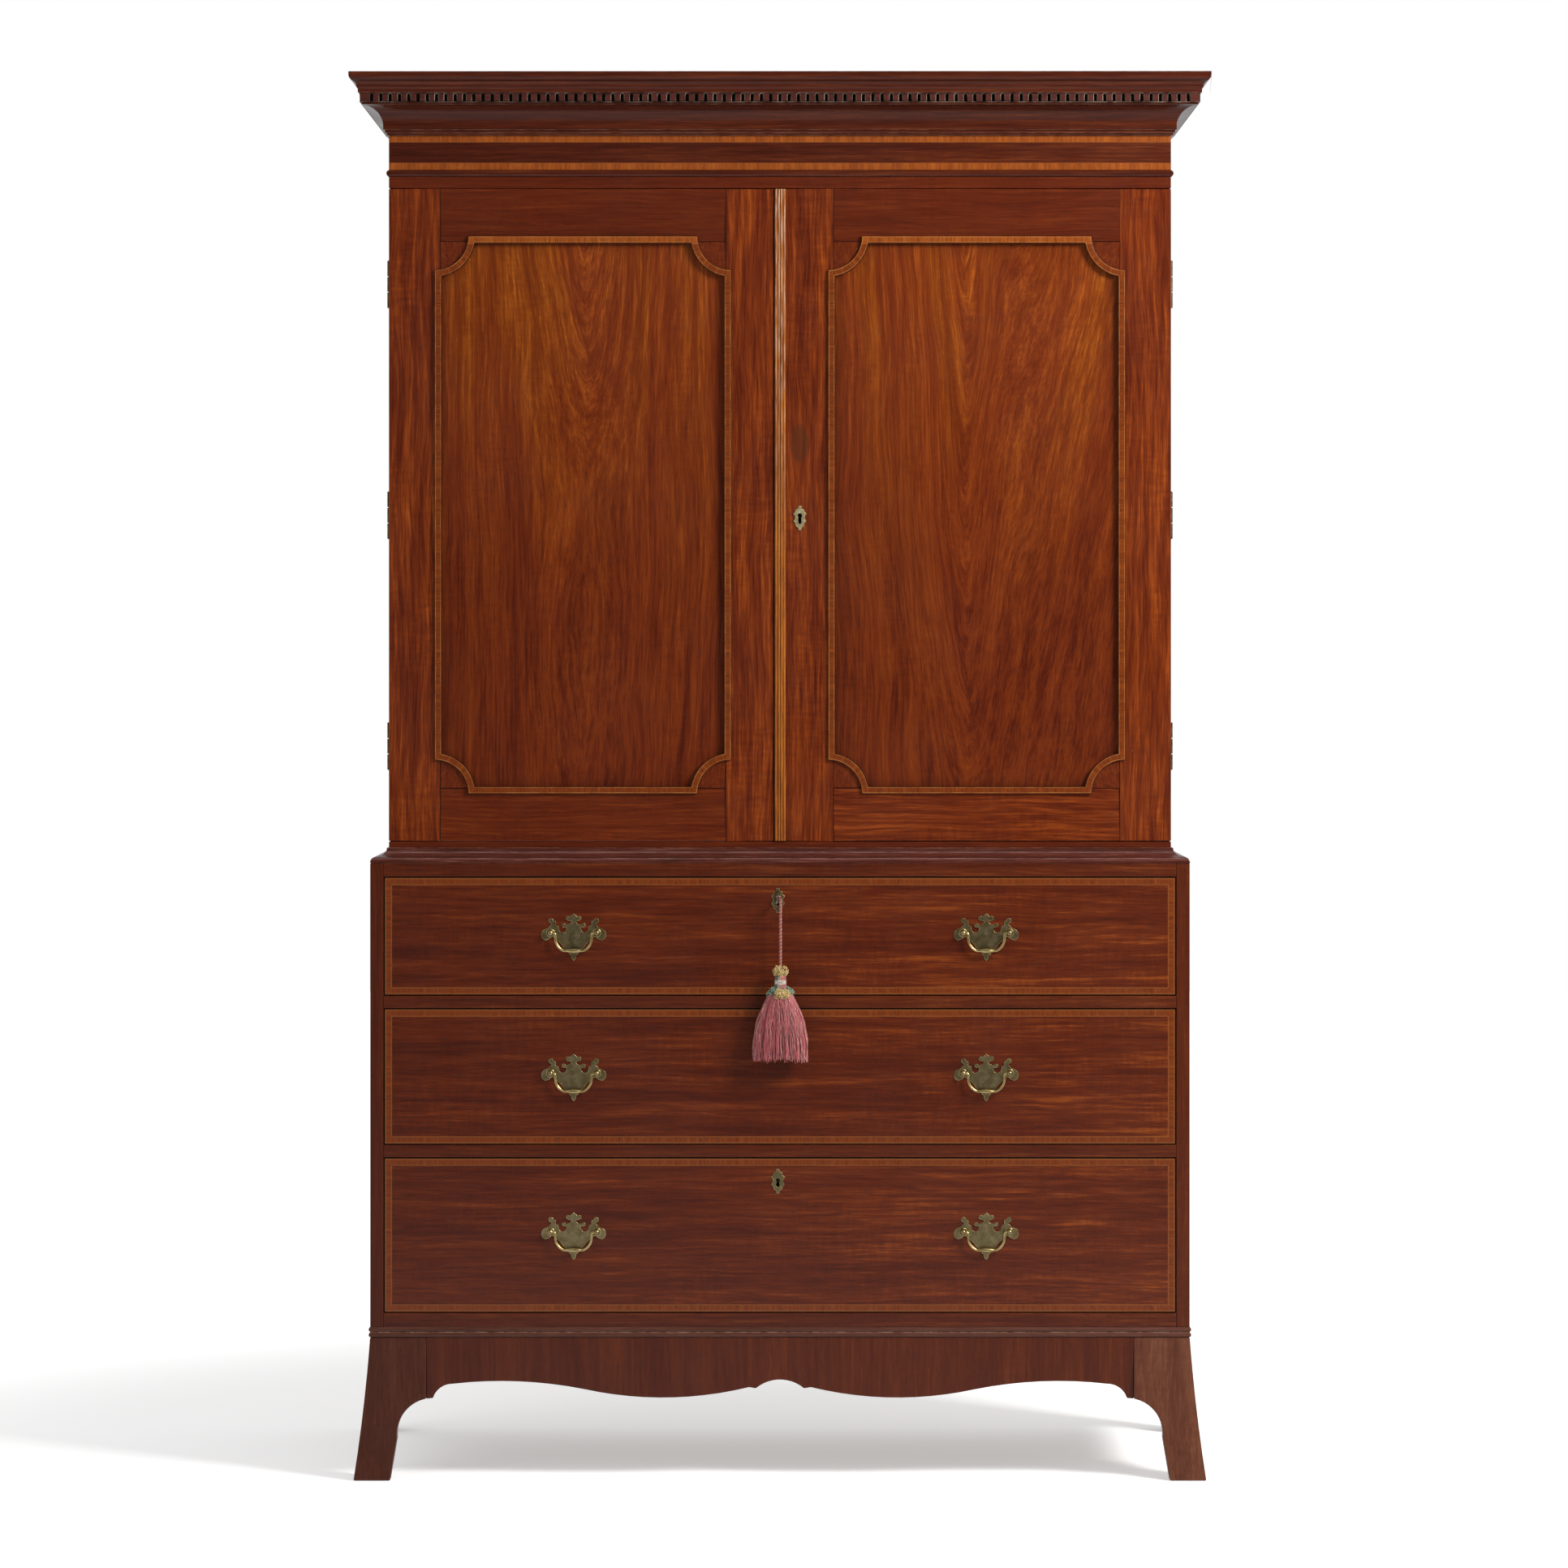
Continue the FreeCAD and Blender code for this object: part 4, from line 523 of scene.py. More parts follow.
def door_frame_wood(side, low_share):
    """Upright stiles, rails across between them, slanted corner pieces and dark joint lines. The bottom
    rail takes its share of the stiles' colour."""
    finish = Finish(f"{side} door frame")
    low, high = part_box(f"{side}_door_panel")
    left, right, bottom, top = low.x, high.x, low.z, high.z
    between = within(finish.x, left, right, 0.0002)
    level = within(finish.z, bottom, top, 0.0002)
    railed = between * (1.0 - level)
    cornered = between * level
    out_x = abs(finish.x - (left + right) / 2)
    out_z = abs(finish.z - (bottom + top) / 2)
    slanted = joined((out_x - out_z) * HALF_RIGHT, finish.x * 2.0, (out_x + out_z) * HALF_RIGHT)
    vector = crossed(cornered, finish.turned(1.0 - railed), slanted)
    finish.wood(vector, RED_MAHOGANY, band=0.014, run=0.22, wander=0.022, ripple=0.38, depth=0.78)
    rail = finish.board(vector, DARK_MAHOGANY, band=0.013, run=0.3, wander=0.02, ripple=0.2)[0]
    stile = finish.colour
    finish.lay(railed + cornered * 0.6, rail)
    finish.lay(railed * spread(finish.z, 1.2, 1.5, low_share, 0.0), stile)
    seams_x = least(abs(finish.x - left), abs(finish.x - right))
    seams_z = least(abs(finish.z - bottom), abs(finish.z - top)) + (1.0 - between)
    finish.lay(spread(least(seams_x, seams_z), 0.0003, 0.0009, 0.85, 0.0), DARK_LINE)
    return finish


def left_frame():
    return door_frame_wood("left", 0.35).close()


def right_frame():
    """With a dark oval stain on its left stile."""
    finish = door_frame_wood("right", 0.95)
    stain_x = (finish.x - STAIN_MIDDLE[0]) / STAIN_REACH[0]
    stain_z = (finish.z - STAIN_MIDDLE[1]) / STAIN_REACH[1]
    away = reckon("SQRT", stain_x * stain_x + stain_z * stain_z) + finish.mottled((90, 90, 60)) * 0.3
    finish.lay(spread(away, 0.95, 1.3, 0.62, 0.0), (0.06, 0.018, 0.007, 1))
    return finish.close()


def panel_wood(side, middle, low_slope, high_slope, band, lean=0.0):
    """A veneered panel with nested arches of grain about its middle, golden towards its top, with painted
    light that makes the top paler and the foot darker, and painted shade along its edges.
    """
    finish = Finish(f"{side} panel")
    slope = spread(finish.z, 1.25, 1.6, low_slope, high_slope)
    vector = use(CATHEDRAL, {"Vector": finish.where, "Middle": middle, "Slope": slope, "Lean": lean})[0]
    # the lift by height is painted light: paler towards the top, darker towards the foot, as lit from above
    finish.wood(vector, PANEL_MAHOGANY, band=band, run=0.45, wander=0.016, ripple=0.24,
                depth=0.72, lift=spread(finish.z, 1.15, 1.85, -0.17, 0.14))
    patches = spread(mottle(scaled(vector, (14, 14, 2.2))), 0.38, 0.66)
    golden = blended(1.0, finish.colour, (1.12, 1.35, 0.85, 1), "MULTIPLY")
    finish.lay(patches * spread(finish.z, 1.2, 1.8, 0.25, 0.8), golden)
    # painted shade: the panel darker near its edges, beside the moulding that stands above it
    inward = finish.outline(RECTANGLE_EDGE, f"{side}_door_panel")[0]
    finish.lay(spread(inward, 0.004, 0.03, 0.14, 0.0), (0.05, 0.01, 0.004, 1))
    return finish.close()


def ring_wood(side):
    """A cross-grained moulding that follows its ring, with pale lines along its edges, partly painted
    highlight and partly wear, painted shadow at each edge, and painted light on its top run.
    """
    finish = Finish(f"{side} ring")
    node = f"{side}_door_moulding"
    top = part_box(node)[1].z
    inward, vector = finish.outline(HOLLOWED_RING, node, Hollow=RING_HOLLOW)
    grain = dict(band=0.007, run=0.06, wander=0.003, ripple=0.0)
    finish.wood(vector, BAND_MAHOGANY, **grain)
    # painted light: the top run paler, as the lamp above catches it
    paler = finish.board(vector, FRIEZE_BAND, **grain)[0]
    finish.lay(spread(finish.z, top - 0.0125, top - 0.0115), paler)
    # pale lines along the raised edges: painted highlights, patchy where rubbed
    lines = within(inward, 0.0008, 0.0018, 0.0003) + within(inward, 0.0085, 0.0093, 0.0003)
    rubbed = spread(finish.mottled((45, 45, 45), 3.0), 0.38, 0.62, 0.3, 0.8)
    finish.lay(lines * rubbed, (0.34, 0.14, 0.035, 1))
    # painted shadow at the outermost edge and along the inner edge, where the moulding meets frame and panel
    dark = spread(inward, 0.0003, 0.0008, 0.8, 0.0) + spread(inward, 0.0093, 0.01, 0.0, 0.85)
    finish.lay(dark, DARK_LINE)
    return finish.close()


def frieze_wood():
    """A cross-grained band along the top and the bottom, and plain pine where it can't be seen."""
    finish = Finish("frieze")
    # the share towards the right is painted light from the lamp on that side
    finish.wood("mitred", FRIEZE_MAHOGANY, band=0.014, run=0.35, wander=0.012, ripple=0.15, rightward=0.25)
    inward = least(finish.z - FRIEZE_FOOT, FRIEZE_HEAD - finish.z)
    band = finish.board("upright", FRIEZE_BAND, band=0.009, run=0.05, wander=0.003, ripple=0.0,
                        pores=0.15, depth=0.6)[0]
    finish.lay(in_band(inward), band)
    string = within(inward, BAND_WIDTH - 0.0002, BAND_WIDTH + 0.0006, 0.0002)
    finish.lay(string * 0.3, STRINGING)
    bare = finish.board("across", PINE, **PINE_GRAIN)[0]
    hidden = reckon("MAXIMUM", inward < -0.0002, finish.y > BACK - 0.0005)
    finish.lay(hidden, bare)
    return finish.close()


def waist_wood():
    """Dark moulding with pale lines along the crests of its profile, painted highlight broken by wear, and
    painted shade in the hollows.
    """
    finish = Finish("waist, mitred runs")
    finish.wood("mitred", WAIST_MAHOGANY, band=0.006, run=0.12, wander=0.006, ripple=0.1)
    rise = finish.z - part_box("waist_moulding")[0].z
    # painted highlights along the crests, patchy with wear, and painted shade in the hollows
    ridge_highlights = within(rise, 0.006, 0.0072, 0.0004) + within(rise, 0.015, 0.016, 0.0004)
    groove_shade = within(rise, 0.0078, 0.009, 0.0004) + within(rise, 0.0166, 0.0176, 0.0004)
    worn = spread(finish.mottled((35, 35, 35), 4.0), 0.36, 0.62, 0.1, 0.7)
    finish.lay(ridge_highlights * worn, (0.22, 0.11, 0.09, 1))
    finish.lay(groove_shade * 0.7, DARK_LINE)
    return finish.close(rough=0.22, gloss=0.5, nicks=1.0)


def dentil_wood():
    """Dark teeth with painted shade that deepens into the slots between them."""
    finish = Finish("dentils")
    low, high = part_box("dentil_course")
    finish.wood("mitred", DENTIL_MAHOGANY, band=0.006, run=0.03, wander=0.002, ripple=0.0)
    # painted shade: darker the farther a place lies behind the teeth's faces
    inward = least(finish.y - low.y, high.x - abs(finish.x))
    finish.lay(spread(inward, 0.0007, 0.002, 0.0, 0.9), (0.006, 0.003, 0.002, 1))
    return finish.close(rough=0.4)


def reeded_bead():
    """Golden reeds with painted shade in the valleys between them, chalky towards their top."""
    finish = Finish("reeded bead")
    finish.wood("upright", REED_MAHOGANY, band=0.004, run=0.1, wander=0.002, ripple=0.2)
    ridge = spread(finish.y, REED_TIP, REED_SIDE, 1.0, 0.0)
    rubbed = spread(finish.mottled((500, 500, 30), 3.0), 0.42, 0.62)
    finish.lay(ridge * rubbed * spread(finish.z, 1.3, 1.9, 0.0, 0.7), (0.5, 0.32, 0.22, 1))
    # painted shade in the valleys between the reeds
    finish.lay(spread(finish.y, REED_SIDE, REED_VALLEY, 0.0, 0.45), DARK_LINE)
    return finish.close(rough=0.38)


def rubbed_edge(name, dark, pale):
    """Bare, paler wood where an edge is worn."""
    finish = Finish(name)
    finish.height = spread(finish.mottled((60, 60, 60), 3.0), 0.35, 0.65)
    finish.colour = blended(finish.height, dark, pale)
    return finish.close(rough=0.5)


# ------------------------ metal and thread finishes

def metal(name, dark, middle, light, rough, spots=0.5):
    """Metal with a mottled skin, darker in spots, and fine scratches."""
    finish = Finish(name)
    skin = finish.mottled((110, 110, 110), 4.0, 0.6)
    finish.colour = ramp(spread(skin, 0.3, 0.72), [(0.0, *dark), (0.5, *middle), (1.0, *light)])
    flecks = spread(finish.mottled((420, 420, 420), 2.0), 0.6, 0.72)
    finish.lay(flecks * spots, (*[0.35 * part for part in dark], 1))
    scratches = finish.mottled((2500, 300, 500), 2.0)
    roughness = skin * 0.18 + scratches * 0.08 + (rough - 0.13)
    return finish.skin({"Roughness": roughness, "Metallic": 1.0,
                        "Normal": bumped(skin + scratches * 0.15, 0.05, 0.001)})


def silk(name, dark, light):
    """Silk thread: fine strands and a soft sheen."""
    finish = Finish(name)
    strands = finish.mottled((900, 900, 130), 2.0)
    finish.colour = blended(spread(strands, 0.3, 0.7), (*dark, 1), (*light, 1))
    return finish.skin({"Roughness": 0.45, "Normal": bumped(strands, 0.3, 0.0004),
                        "Sheen Weight": 0.4, "Sheen Roughness": 0.4, "Specular IOR Level": 0.4})


def striped_silk():
    """The neck's thread: green on its left, rose on its right, with gold and pale stripes, and a white
    band round its middle with a dark thread that crosses it."""
    finish = Finish("striped silk")
    turn = reckon("ARCTAN2", finish.x - TASSEL_X, TASSEL_Y - finish.y)
    finish.colour = ramp(spread(turn / 3.2, -0.55, 0.55), [
        (0.0, 0.07, 0.11, 0.065), (0.3, 0.1, 0.155, 0.095), (0.36, 0.45, 0.4, 0.28), (0.4, 0.1, 0.15, 0.09),
        (0.46, 0.42, 0.3, 0.14), (0.5, 0.4, 0.1, 0.1), (0.62, 0.42, 0.11, 0.11), (1.0, 0.33, 0.085, 0.085)])
    white = within(finish.z, *NECK_BAND, 0.0004) * within(turn, -1.2, 1.1, 0.1)
    apart = abs(turn) * 0.0035 - abs(finish.z - NECK_CROSSING)
    cross = spread(abs(apart), 0.0003, 0.0008, 0.75, 0.0)
    finish.lay(white, blended(cross, (0.62, 0.56, 0.48, 1), (0.16, 0.1, 0.08, 1)))
    strands = place("ShaderNodeTexWave", {"Vector": finish.where, "Scale": 330.0, "Distortion": 1.0}, 1,
                    bands_direction="X")
    finish.lay(spread(strands, 0.0, 1.0, 0.3, 0.0), (0.05, 0.03, 0.025, 1))
    return finish.skin({"Roughness": 0.5, "Normal": bumped(strands, 0.5, 0.0005),
                        "Sheen Weight": 0.3, "Specular IOR Level": 0.35})


# ------------------------ dressing the carcase

def soft_shading(name, limit):
    """Smooths faces up to edges that fold by more than a limit, in degrees, or don't join two faces."""
    tree = bpy.data.node_groups.new(name, "GeometryNodeTree")
    for way in ("INPUT", "OUTPUT"):
        tree.interface.new_socket("Mesh", in_out=way, socket_type="NodeSocketGeometry")
    mesh = Signal(tree.nodes.new("NodeGroupInput").outputs[0])
    bare = place("GeometryNodeRemoveAttribute", {"Geometry": mesh, "Name": "custom_normal"})
    faces = place("GeometryNodeSetShadeSmooth", {0: bare, "Shade Smooth": True}, domain="FACE")
    fold = place("GeometryNodeInputMeshEdgeAngle", give="Unsigned Angle", tree=tree)
    folded = place("FunctionNodeCompare", {0: fold, 1: math.radians(limit)}, operation="GREATER_THAN")
    count = place("GeometryNodeInputMeshEdgeNeighbors", tree=tree)
    open_edge = place("FunctionNodeCompare", {2: count, 3: 2}, data_type="INT", operation="NOT_EQUAL")
    sharp = place("FunctionNodeBooleanMath", {0: folded, 1: open_edge}, operation="OR")
    edges = place("GeometryNodeSetShadeSmooth", {0: faces, "Selection": sharp, "Shade Smooth": False},
                  domain="EDGE")
    feed(tree.nodes.new("NodeGroupOutput").inputs[0], edges)
    return tree


SOFT_SHADING = soft_shading("soft shading", 28)
RUN_SHADING = soft_shading("shading of mitred runs", 12)


def dress(node, material, bevel=0.0, rubbed=None, segments=2, shading=None, flatten=True):
    """Gives a part its finish, and eases its edges."""
    piece = nodes[node]
    piece.data.materials.clear()
    piece.data.materials.append(material)
    weld = piece.modifiers.new("weld", "WELD")
    weld.merge_threshold = 0.00001
    if bevel and flatten:
        flat = piece.modifiers.new("flat", "DECIMATE")
        flat.decimate_type = "DISSOLVE"
        flat.angle_limit = math.radians(0.5)
    if bevel:
        ease = piece.modifiers.new("ease", "BEVEL")
        ease.width = bevel
        ease.segments = segments
        ease.limit_method = "ANGLE"
        ease.angle_limit = math.radians(40)
        ease.use_clamp_overlap = False
        ease.miter_outer = "MITER_ARC"
        if rubbed:
            piece.data.materials.append(rubbed)
            ease.material = 1
    shade = piece.modifiers.new("shade", "NODES")
    shade.node_group = shading or SOFT_SHADING
    if bevel:
        even = piece.modifiers.new("even", "WEIGHTED_NORMAL")
        even.keep_sharp = True


def dress_wood():
    rubbed = rubbed_edge("rubbed edge", (0.11, 0.03, 0.015, 1), (0.33, 0.2, 0.13, 1))
    browned = rubbed_edge("browned edge", (0.06, 0.016, 0.01, 1), (0.15, 0.07, 0.045, 1))
    chalked = rubbed_edge("chalky edge", (0.05, 0.022, 0.015, 1), (0.3, 0.23, 0.18, 1))
    base_grain = dict(band=0.025, run=0.4, wander=0.02, ripple=0.2)
    # the shares towards the right in these boards are painted light from the lamp on that side
    base_upright = plain_board("base, upright", BASE_MAHOGANY, "upright", **base_grain, rough=0.25,
                               pores=0.25, depth=0.6, rightward=0.15)
    feet_wood = plain_board("feet", FOOT_MAHOGANY, "upright", **base_grain, rough=0.3, nicks=0.9, pores=0.2,
                            depth=0.5, rightward=0.42)
    base_across = plain_board("base, across", BASE_MAHOGANY, "across", band=0.014, run=0.4, wander=0.01,
                              ripple=0.2, rough=0.25, rightward=0.15)
    base_run = plain_board("base, mitred runs", BEAD_MAHOGANY, "mitred", band=0.01, run=0.3, wander=0.008,
                           ripple=0.1, rough=0.25, depth=0.6, rightward=0.15)
    press_upright = plain_board("press, upright", DARK_MAHOGANY, "upright", band=0.03, run=0.5, wander=0.03,
                                ripple=0.3)
    press_across = plain_board("press, across", DARK_MAHOGANY, "across", band=0.02, run=0.4, wander=0.01,
                               ripple=0.2)
    cornice_run = plain_board("cornice, mitred runs", FRIEZE_MAHOGANY, "mitred", band=0.008, run=0.3,
                              wander=0.006, ripple=0.1)
    open_grain = dict(band=0.02, run=0.25, wander=0.01, ripple=0.1, pores=0.5, rough=0.55, gloss=0.3,
                      bump=0.15, grain_bump=0.4, nicks=0.0)
    oak = plain_board("oak", OAK, "across", **open_grain)
    oak_deep = plain_board("oak, front to back", OAK, "deep", **open_grain)
    press_back = joined_boards("press back boards", "press_back_boards", 5)
    base_back = joined_boards("base back boards", "base_back_boards", 4)
    pine_across = plain_board("pine, across", PINE, "across", **PINE_GRAIN, **BARE)

    for node, material, bevel in (
            ("base_sides", base_upright, 0.0015), ("base_boards", pine_across, 0.001),
            ("drawer_rails", base_across, 0.0008), ("drawer_runners", oak_deep, 0.001),
            ("base_back_boards", base_back, 0.001), ("aprons", base_upright, 0.001),
            ("rear_feet", feet_wood, 0.0015), ("press_sides", press_upright, 0.0015),
            ("press_boards", press_across, 0.001), ("press_back_boards", press_back, 0.001),
            ("slide_runners", oak_deep, 0.001), ("cornice_frame", frieze_wood(), 0.0008)):
        dress(node, material, bevel)
    dress("front_feet", feet_wood, 0.0022, segments=3)
    dress("waist_moulding", waist_wood(), 0.0006, browned, shading=RUN_SHADING)
    dress("base_moulding", base_run, 0.0004, rubbed, shading=RUN_SHADING)
    dress("cornice_bead", cornice_run, 0.0003, shading=RUN_SHADING)
    dress("cornice_moulding", cornice_run, 0.0006, browned, shading=RUN_SHADING)
    dress("dentil_course", dentil_wood(), 0.0005, chalked, 1, flatten=False)
    for number in range(1, 5):
        dress(f"linen_slide_{number}", oak, 0.0015)
    dress("left_door_frame", left_frame(), 0.0008)
    dress("right_door_frame", right_frame(), 0.0008)
    dress("left_door_panel", panel_wood("left", (-0.289, 0, 1.646), 0.1, 0.38, 0.018))
    dress("right_door_panel", panel_wood("right", (0.278, 0, 1.12), 0.3, 0.3, 0.024, 0.22))
    for side in ("left", "right"):
        dress(f"{side}_door_moulding", ring_wood(side), 0.0004)
    dress("meeting_bead", reeded_bead())
    for number in (1, 2, 3):
        dress(f"drawer_{number}_front", drawer_wood(number), 0.0006)
        dress(f"drawer_{number}_box", oak_deep, 0.001)


def dress_metal():
    plate = metal("aged brass plates", (0.26, 0.2, 0.095), (0.32, 0.25, 0.125),
                  (0.39, 0.31, 0.165), 0.36, 0.12)
    bright = metal("rubbed brass", (0.44, 0.33, 0.13), (0.58, 0.45, 0.2), (0.68, 0.54, 0.27), 0.34, 0.1)
    handled = metal("handled brass", (0.52, 0.43, 0.23), (0.68, 0.57, 0.33), (0.82, 0.72, 0.46), 0.5, 0.3)
    dull = metal("dull brass", (0.06, 0.038, 0.018), (0.11, 0.07, 0.032), (0.18, 0.12, 0.055), 0.45)
    steel = metal("dull steel", (0.07, 0.06, 0.052), (0.16, 0.145, 0.13), (0.27, 0.25, 0.225), 0.42)
    key_metal = metal("worn key steel", (0.2, 0.17, 0.12), (0.42, 0.38, 0.29), (0.6, 0.56, 0.46), 0.3, 0.3)
    for number in (1, 2, 3):
        dress(f"drawer_{number}_brasses", plate, 0.0007, bright, 3)
        for side in ("left", "right"):
            dress(f"drawer_{number}_{side}_bail", bright)
        rosettes(number, bright)
    dress("door_escutcheon", handled, 0.0004, bright, 2, flatten=False)
    for node in ("carcase_hinge_leaves", "left_door_hinge_leaves", "right_door_hinge_leaves",
                 "left_door_bolt_plates", "left_door_top_bolt", "left_door_bottom_bolt"):
        dress(node, dull, 0.0003)
    for carrier in ("right_door", "drawer_1", "drawer_3"):
        dress(f"{carrier}_lock", steel, 0.0004)
        dress(f"{carrier}_lock_bolt", steel, 0.0004)
    dress("key", key_metal)


def rosettes(number, brass):
    """Small turned rings round the four posts of a drawer's handles."""
    low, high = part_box(f"drawer_{number}_left_bail")
    _, high_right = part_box(f"drawer_{number}_right_bail")
    front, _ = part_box(f"drawer_{number}_front")
    level = high.z - BAIL_RADIUS
    shape = bmesh.new()
    for middle in ((low.x + high.x) / 2, high_right.x - (high.x - low.x) / 2):
        for side in (-1, 1):
            begun = len(shape.verts)
            profile = bmesh.ops.create_circle(shape, segments=8, radius=ROSETTE_WIRE)["verts"]
            for axis in "ZY":
                quarter = Matrix.Rotation(math.radians(90), 3, axis)
                bmesh.ops.rotate(shape, verts=profile, cent=(0, 0, 0), matrix=quarter)
            bmesh.ops.translate(shape, verts=profile, vec=(0, 0, ROSETTE_RADIUS))
            edges = [edge for edge in shape.edges if edge.verts[0] in profile]
            bmesh.ops.spin(shape, geom=profile + edges, cent=(0, 0, 0), axis=(0, 1, 0), angle=AROUND,
                           steps=28, use_merge=True)
            shape.verts.ensure_lookup_table()
            post = (middle + side * POST_SPREAD, front.y - PLATE_THICKNESS - 0.0002, level)
            bmesh.ops.translate(shape, verts=shape.verts[begun:], vec=post)
    mesh_piece(f"drawer_{number}_rosettes", shape, brass, f"drawer_{number}", "brass")


# ------------------------ cord and tassel

CORD_TOP = Vector((0.0008, -0.289, 0.8578))
CORD_LENGTH = 0.103
CORD_RADIUS = 0.0024
TASSEL_X, TASSEL_Y = CORD_TOP.x, CORD_TOP.y
LOOP_CENTRE = Vector((-0.00157, -0.2853, 0.85966))
LOOP_RADIUS = 0.0034
LOOP_WIRE = 0.0006
WHIPPING_RADIUS = 0.002
WHIPPING_WIRE = 0.00042
NECK_BAND = (0.7322, 0.7385)      # the white band's foot and head
NECK_CROSSING = 0.7353
SKIRT_FOOT = 0.6142


def smooth_lines(name, lines, radius=0.0, shades=(), steps=2, sides=0):
    """Smooth lines, or round threads along them, one shade after the other."""
    data = bpy.data.curves.new(name, "CURVE")
    data.dimensions = "3D"
    data.bevel_depth = radius
    data.bevel_resolution = sides
    data.resolution_u = steps
    data.use_fill_caps = True
    for shade in shades:
        data.materials.append(shade)
    for number, line in enumerate(lines):
        spline = data.splines.new("NURBS")
        spline.points.add(len(line) - 1)
        for point, at in zip(spline.points, line):
            point.co = (*at, 1)
        spline.order_u = 3
        spline.use_endpoint_u = True
        spline.material_index = number % len(shades) if shades else 0
    return data


def settle(name, data, body="hanging_tassel", slot="silk_thread"):
    """A finished piece that rides with a body. Its slot is not used."""
    piece = placed(name, data)
    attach(piece, body)
    return piece


def mesh_piece(name, shape, material, *where):
    """A finished mesh, from a bmesh."""
    bmesh.ops.remove_doubles(shape, verts=shape.verts, dist=0.000005)
    bmesh.ops.recalc_face_normals(shape, faces=shape.faces)
    data = bpy.data.meshes.new(name)
    shape.to_mesh(data)
    shape.free()
    data.shade_smooth()
    data.materials.append(material)
    return settle(name, data, *where)


def drawn(name, curve):
    """The mesh that a curve draws."""
    holder = placed(name, curve)
    mesh = bpy.data.meshes.new_from_object(holder)
    bpy.data.objects.remove(holder)
    return mesh


def route_points():
    """Points along the hanging cord, read from its smooth line."""
    stops = (CORD_TOP, CORD_TOP - Vector((0, 0, 0.029)), CORD_TOP - Vector((0, 0, CORD_LENGTH)))
    line = drawn("cord route", smooth_lines("cord route", [stops], steps=24))
    return [vertex.co.copy() for vertex in line.vertices]


def twisted(points, offset, pitch, start, steps):
    """A line that winds round a route."""
    lengths = [0.0]
    for before, after in zip(points, points[1:]):
        lengths.append(lengths[-1] + (after - before).length)
    wound, leg = [], 0
    for step in range(steps + 1):
        reach = lengths[-1] * step / steps
        while leg < len(points) - 2 and lengths[leg + 1] < reach:
            leg += 1
        share = (reach - lengths[leg]) / (lengths[leg + 1] - lengths[leg])
        middle = points[leg].lerp(points[leg + 1], share)
        along = (points[leg + 1] - points[leg]).normalized()
        side = along.cross(Vector((0, 1, 0)))
        if side.length < 0.1:
            side = along.cross(Vector((1, 0, 0)))
        side.normalize()
        turn = start + AROUND * reach / pitch
        wound.append(middle + Matrix.Rotation(turn, 3, along) @ side * offset)
    return wound


def threads(name, lines, thickness, material):
    """Finished threads of one silk."""
    return settle(name, smooth_lines(name, lines, thickness, [material]))


def tube_mesh(name, lines, radius, shades, sides=2):
    """A mesh of round threads along lines, one shade after the other."""
    mesh = drawn(name + " lines", smooth_lines(name, lines, radius, shades, 1, sides))
    mesh.name = name
    mesh.shade_smooth()
    return settle(name, mesh)


def cord():
    route = route_points()
    rose = [silk("cord rose", (0.17, 0.036, 0.034), (0.29, 0.08, 0.072)),
            silk("cord pale rose", (0.34, 0.115, 0.095), (0.5, 0.22, 0.18))]
    thread = CORD_RADIUS / 2
    lines = [twisted(route, thread, 0.0052, phase, 190) for phase in (0, math.pi)]
    piece = tube_mesh("tassel_twisted_cord", lines, thread, rose)
    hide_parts("tassel_cord")
    return piece, route, rose


def cord_loop(rose):
    """The loop through the key's bow, and the whipping that closes it."""
    climb, lean = math.radians(30), math.radians(23)
    along = Matrix.Rotation(lean, 3, "Y") @ Vector((0, math.sin(climb), math.cos(climb)))
    side = along.cross(Vector((1, 0, 0))).normalized()
    other = along.cross(side).normalized()
    ring = [LOOP_CENTRE + (side * math.cos(turn) + other * math.sin(turn)) * LOOP_RADIUS
            for turn in (AROUND * step / 40 for step in range(41))]
    lines = [twisted(ring, LOOP_WIRE, 0.0042, phase, 90) for phase in (0, math.pi)]
    whipping = [CORD_TOP + Vector((WHIPPING_RADIUS * math.cos(turn), WHIPPING_RADIUS * math.sin(turn),
                                   -0.0002 - WHIPPING_WIRE * turn / 6.283))
                for turn in (0.5 * step for step in range(70))]
    return [tube_mesh("tassel_cord_loop", lines, LOOP_WIRE, rose, 1),
            tube_mesh("tassel_cord_whipping", [whipping], WHIPPING_WIRE, rose, 1)]


def oval(height, width, depth, turn):
    return Vector((TASSEL_X + width * math.cos(turn), TASSEL_Y + depth * math.sin(turn), height))


def tassel_neck():
    """The bound neck: a round core swept about the cord, flattened a little front to back."""
    profile = [(0.003, 0.748), (0.0078, 0.745), (0.0084, 0.74), (0.0088, 0.7385), (0.0092, 0.7355),
               (0.0088, 0.7322), (0.0096, 0.729), (0.0104, 0.721), (0.0128, 0.714), (0.0135, 0.705)]
    shape = bmesh.new()
    line = [shape.verts.new((across, 0, height)) for across, height in profile]
    edges = [shape.edges.new(pair) for pair in zip(line, line[1:])]
    bmesh.ops.spin(shape, geom=line + edges, cent=(0, 0, 0), axis=(0, 0, 1), angle=AROUND, steps=40,
                   use_merge=True)
    bmesh.ops.holes_fill(shape, edges=shape.edges, sides=60)
    bmesh.ops.scale(shape, verts=shape.verts, vec=(1, 0.9, 1))
    bmesh.ops.translate(shape, verts=shape.verts, vec=(TASSEL_X, TASSEL_Y, 0))
    return mesh_piece("tassel_neck", shape, striped_silk())


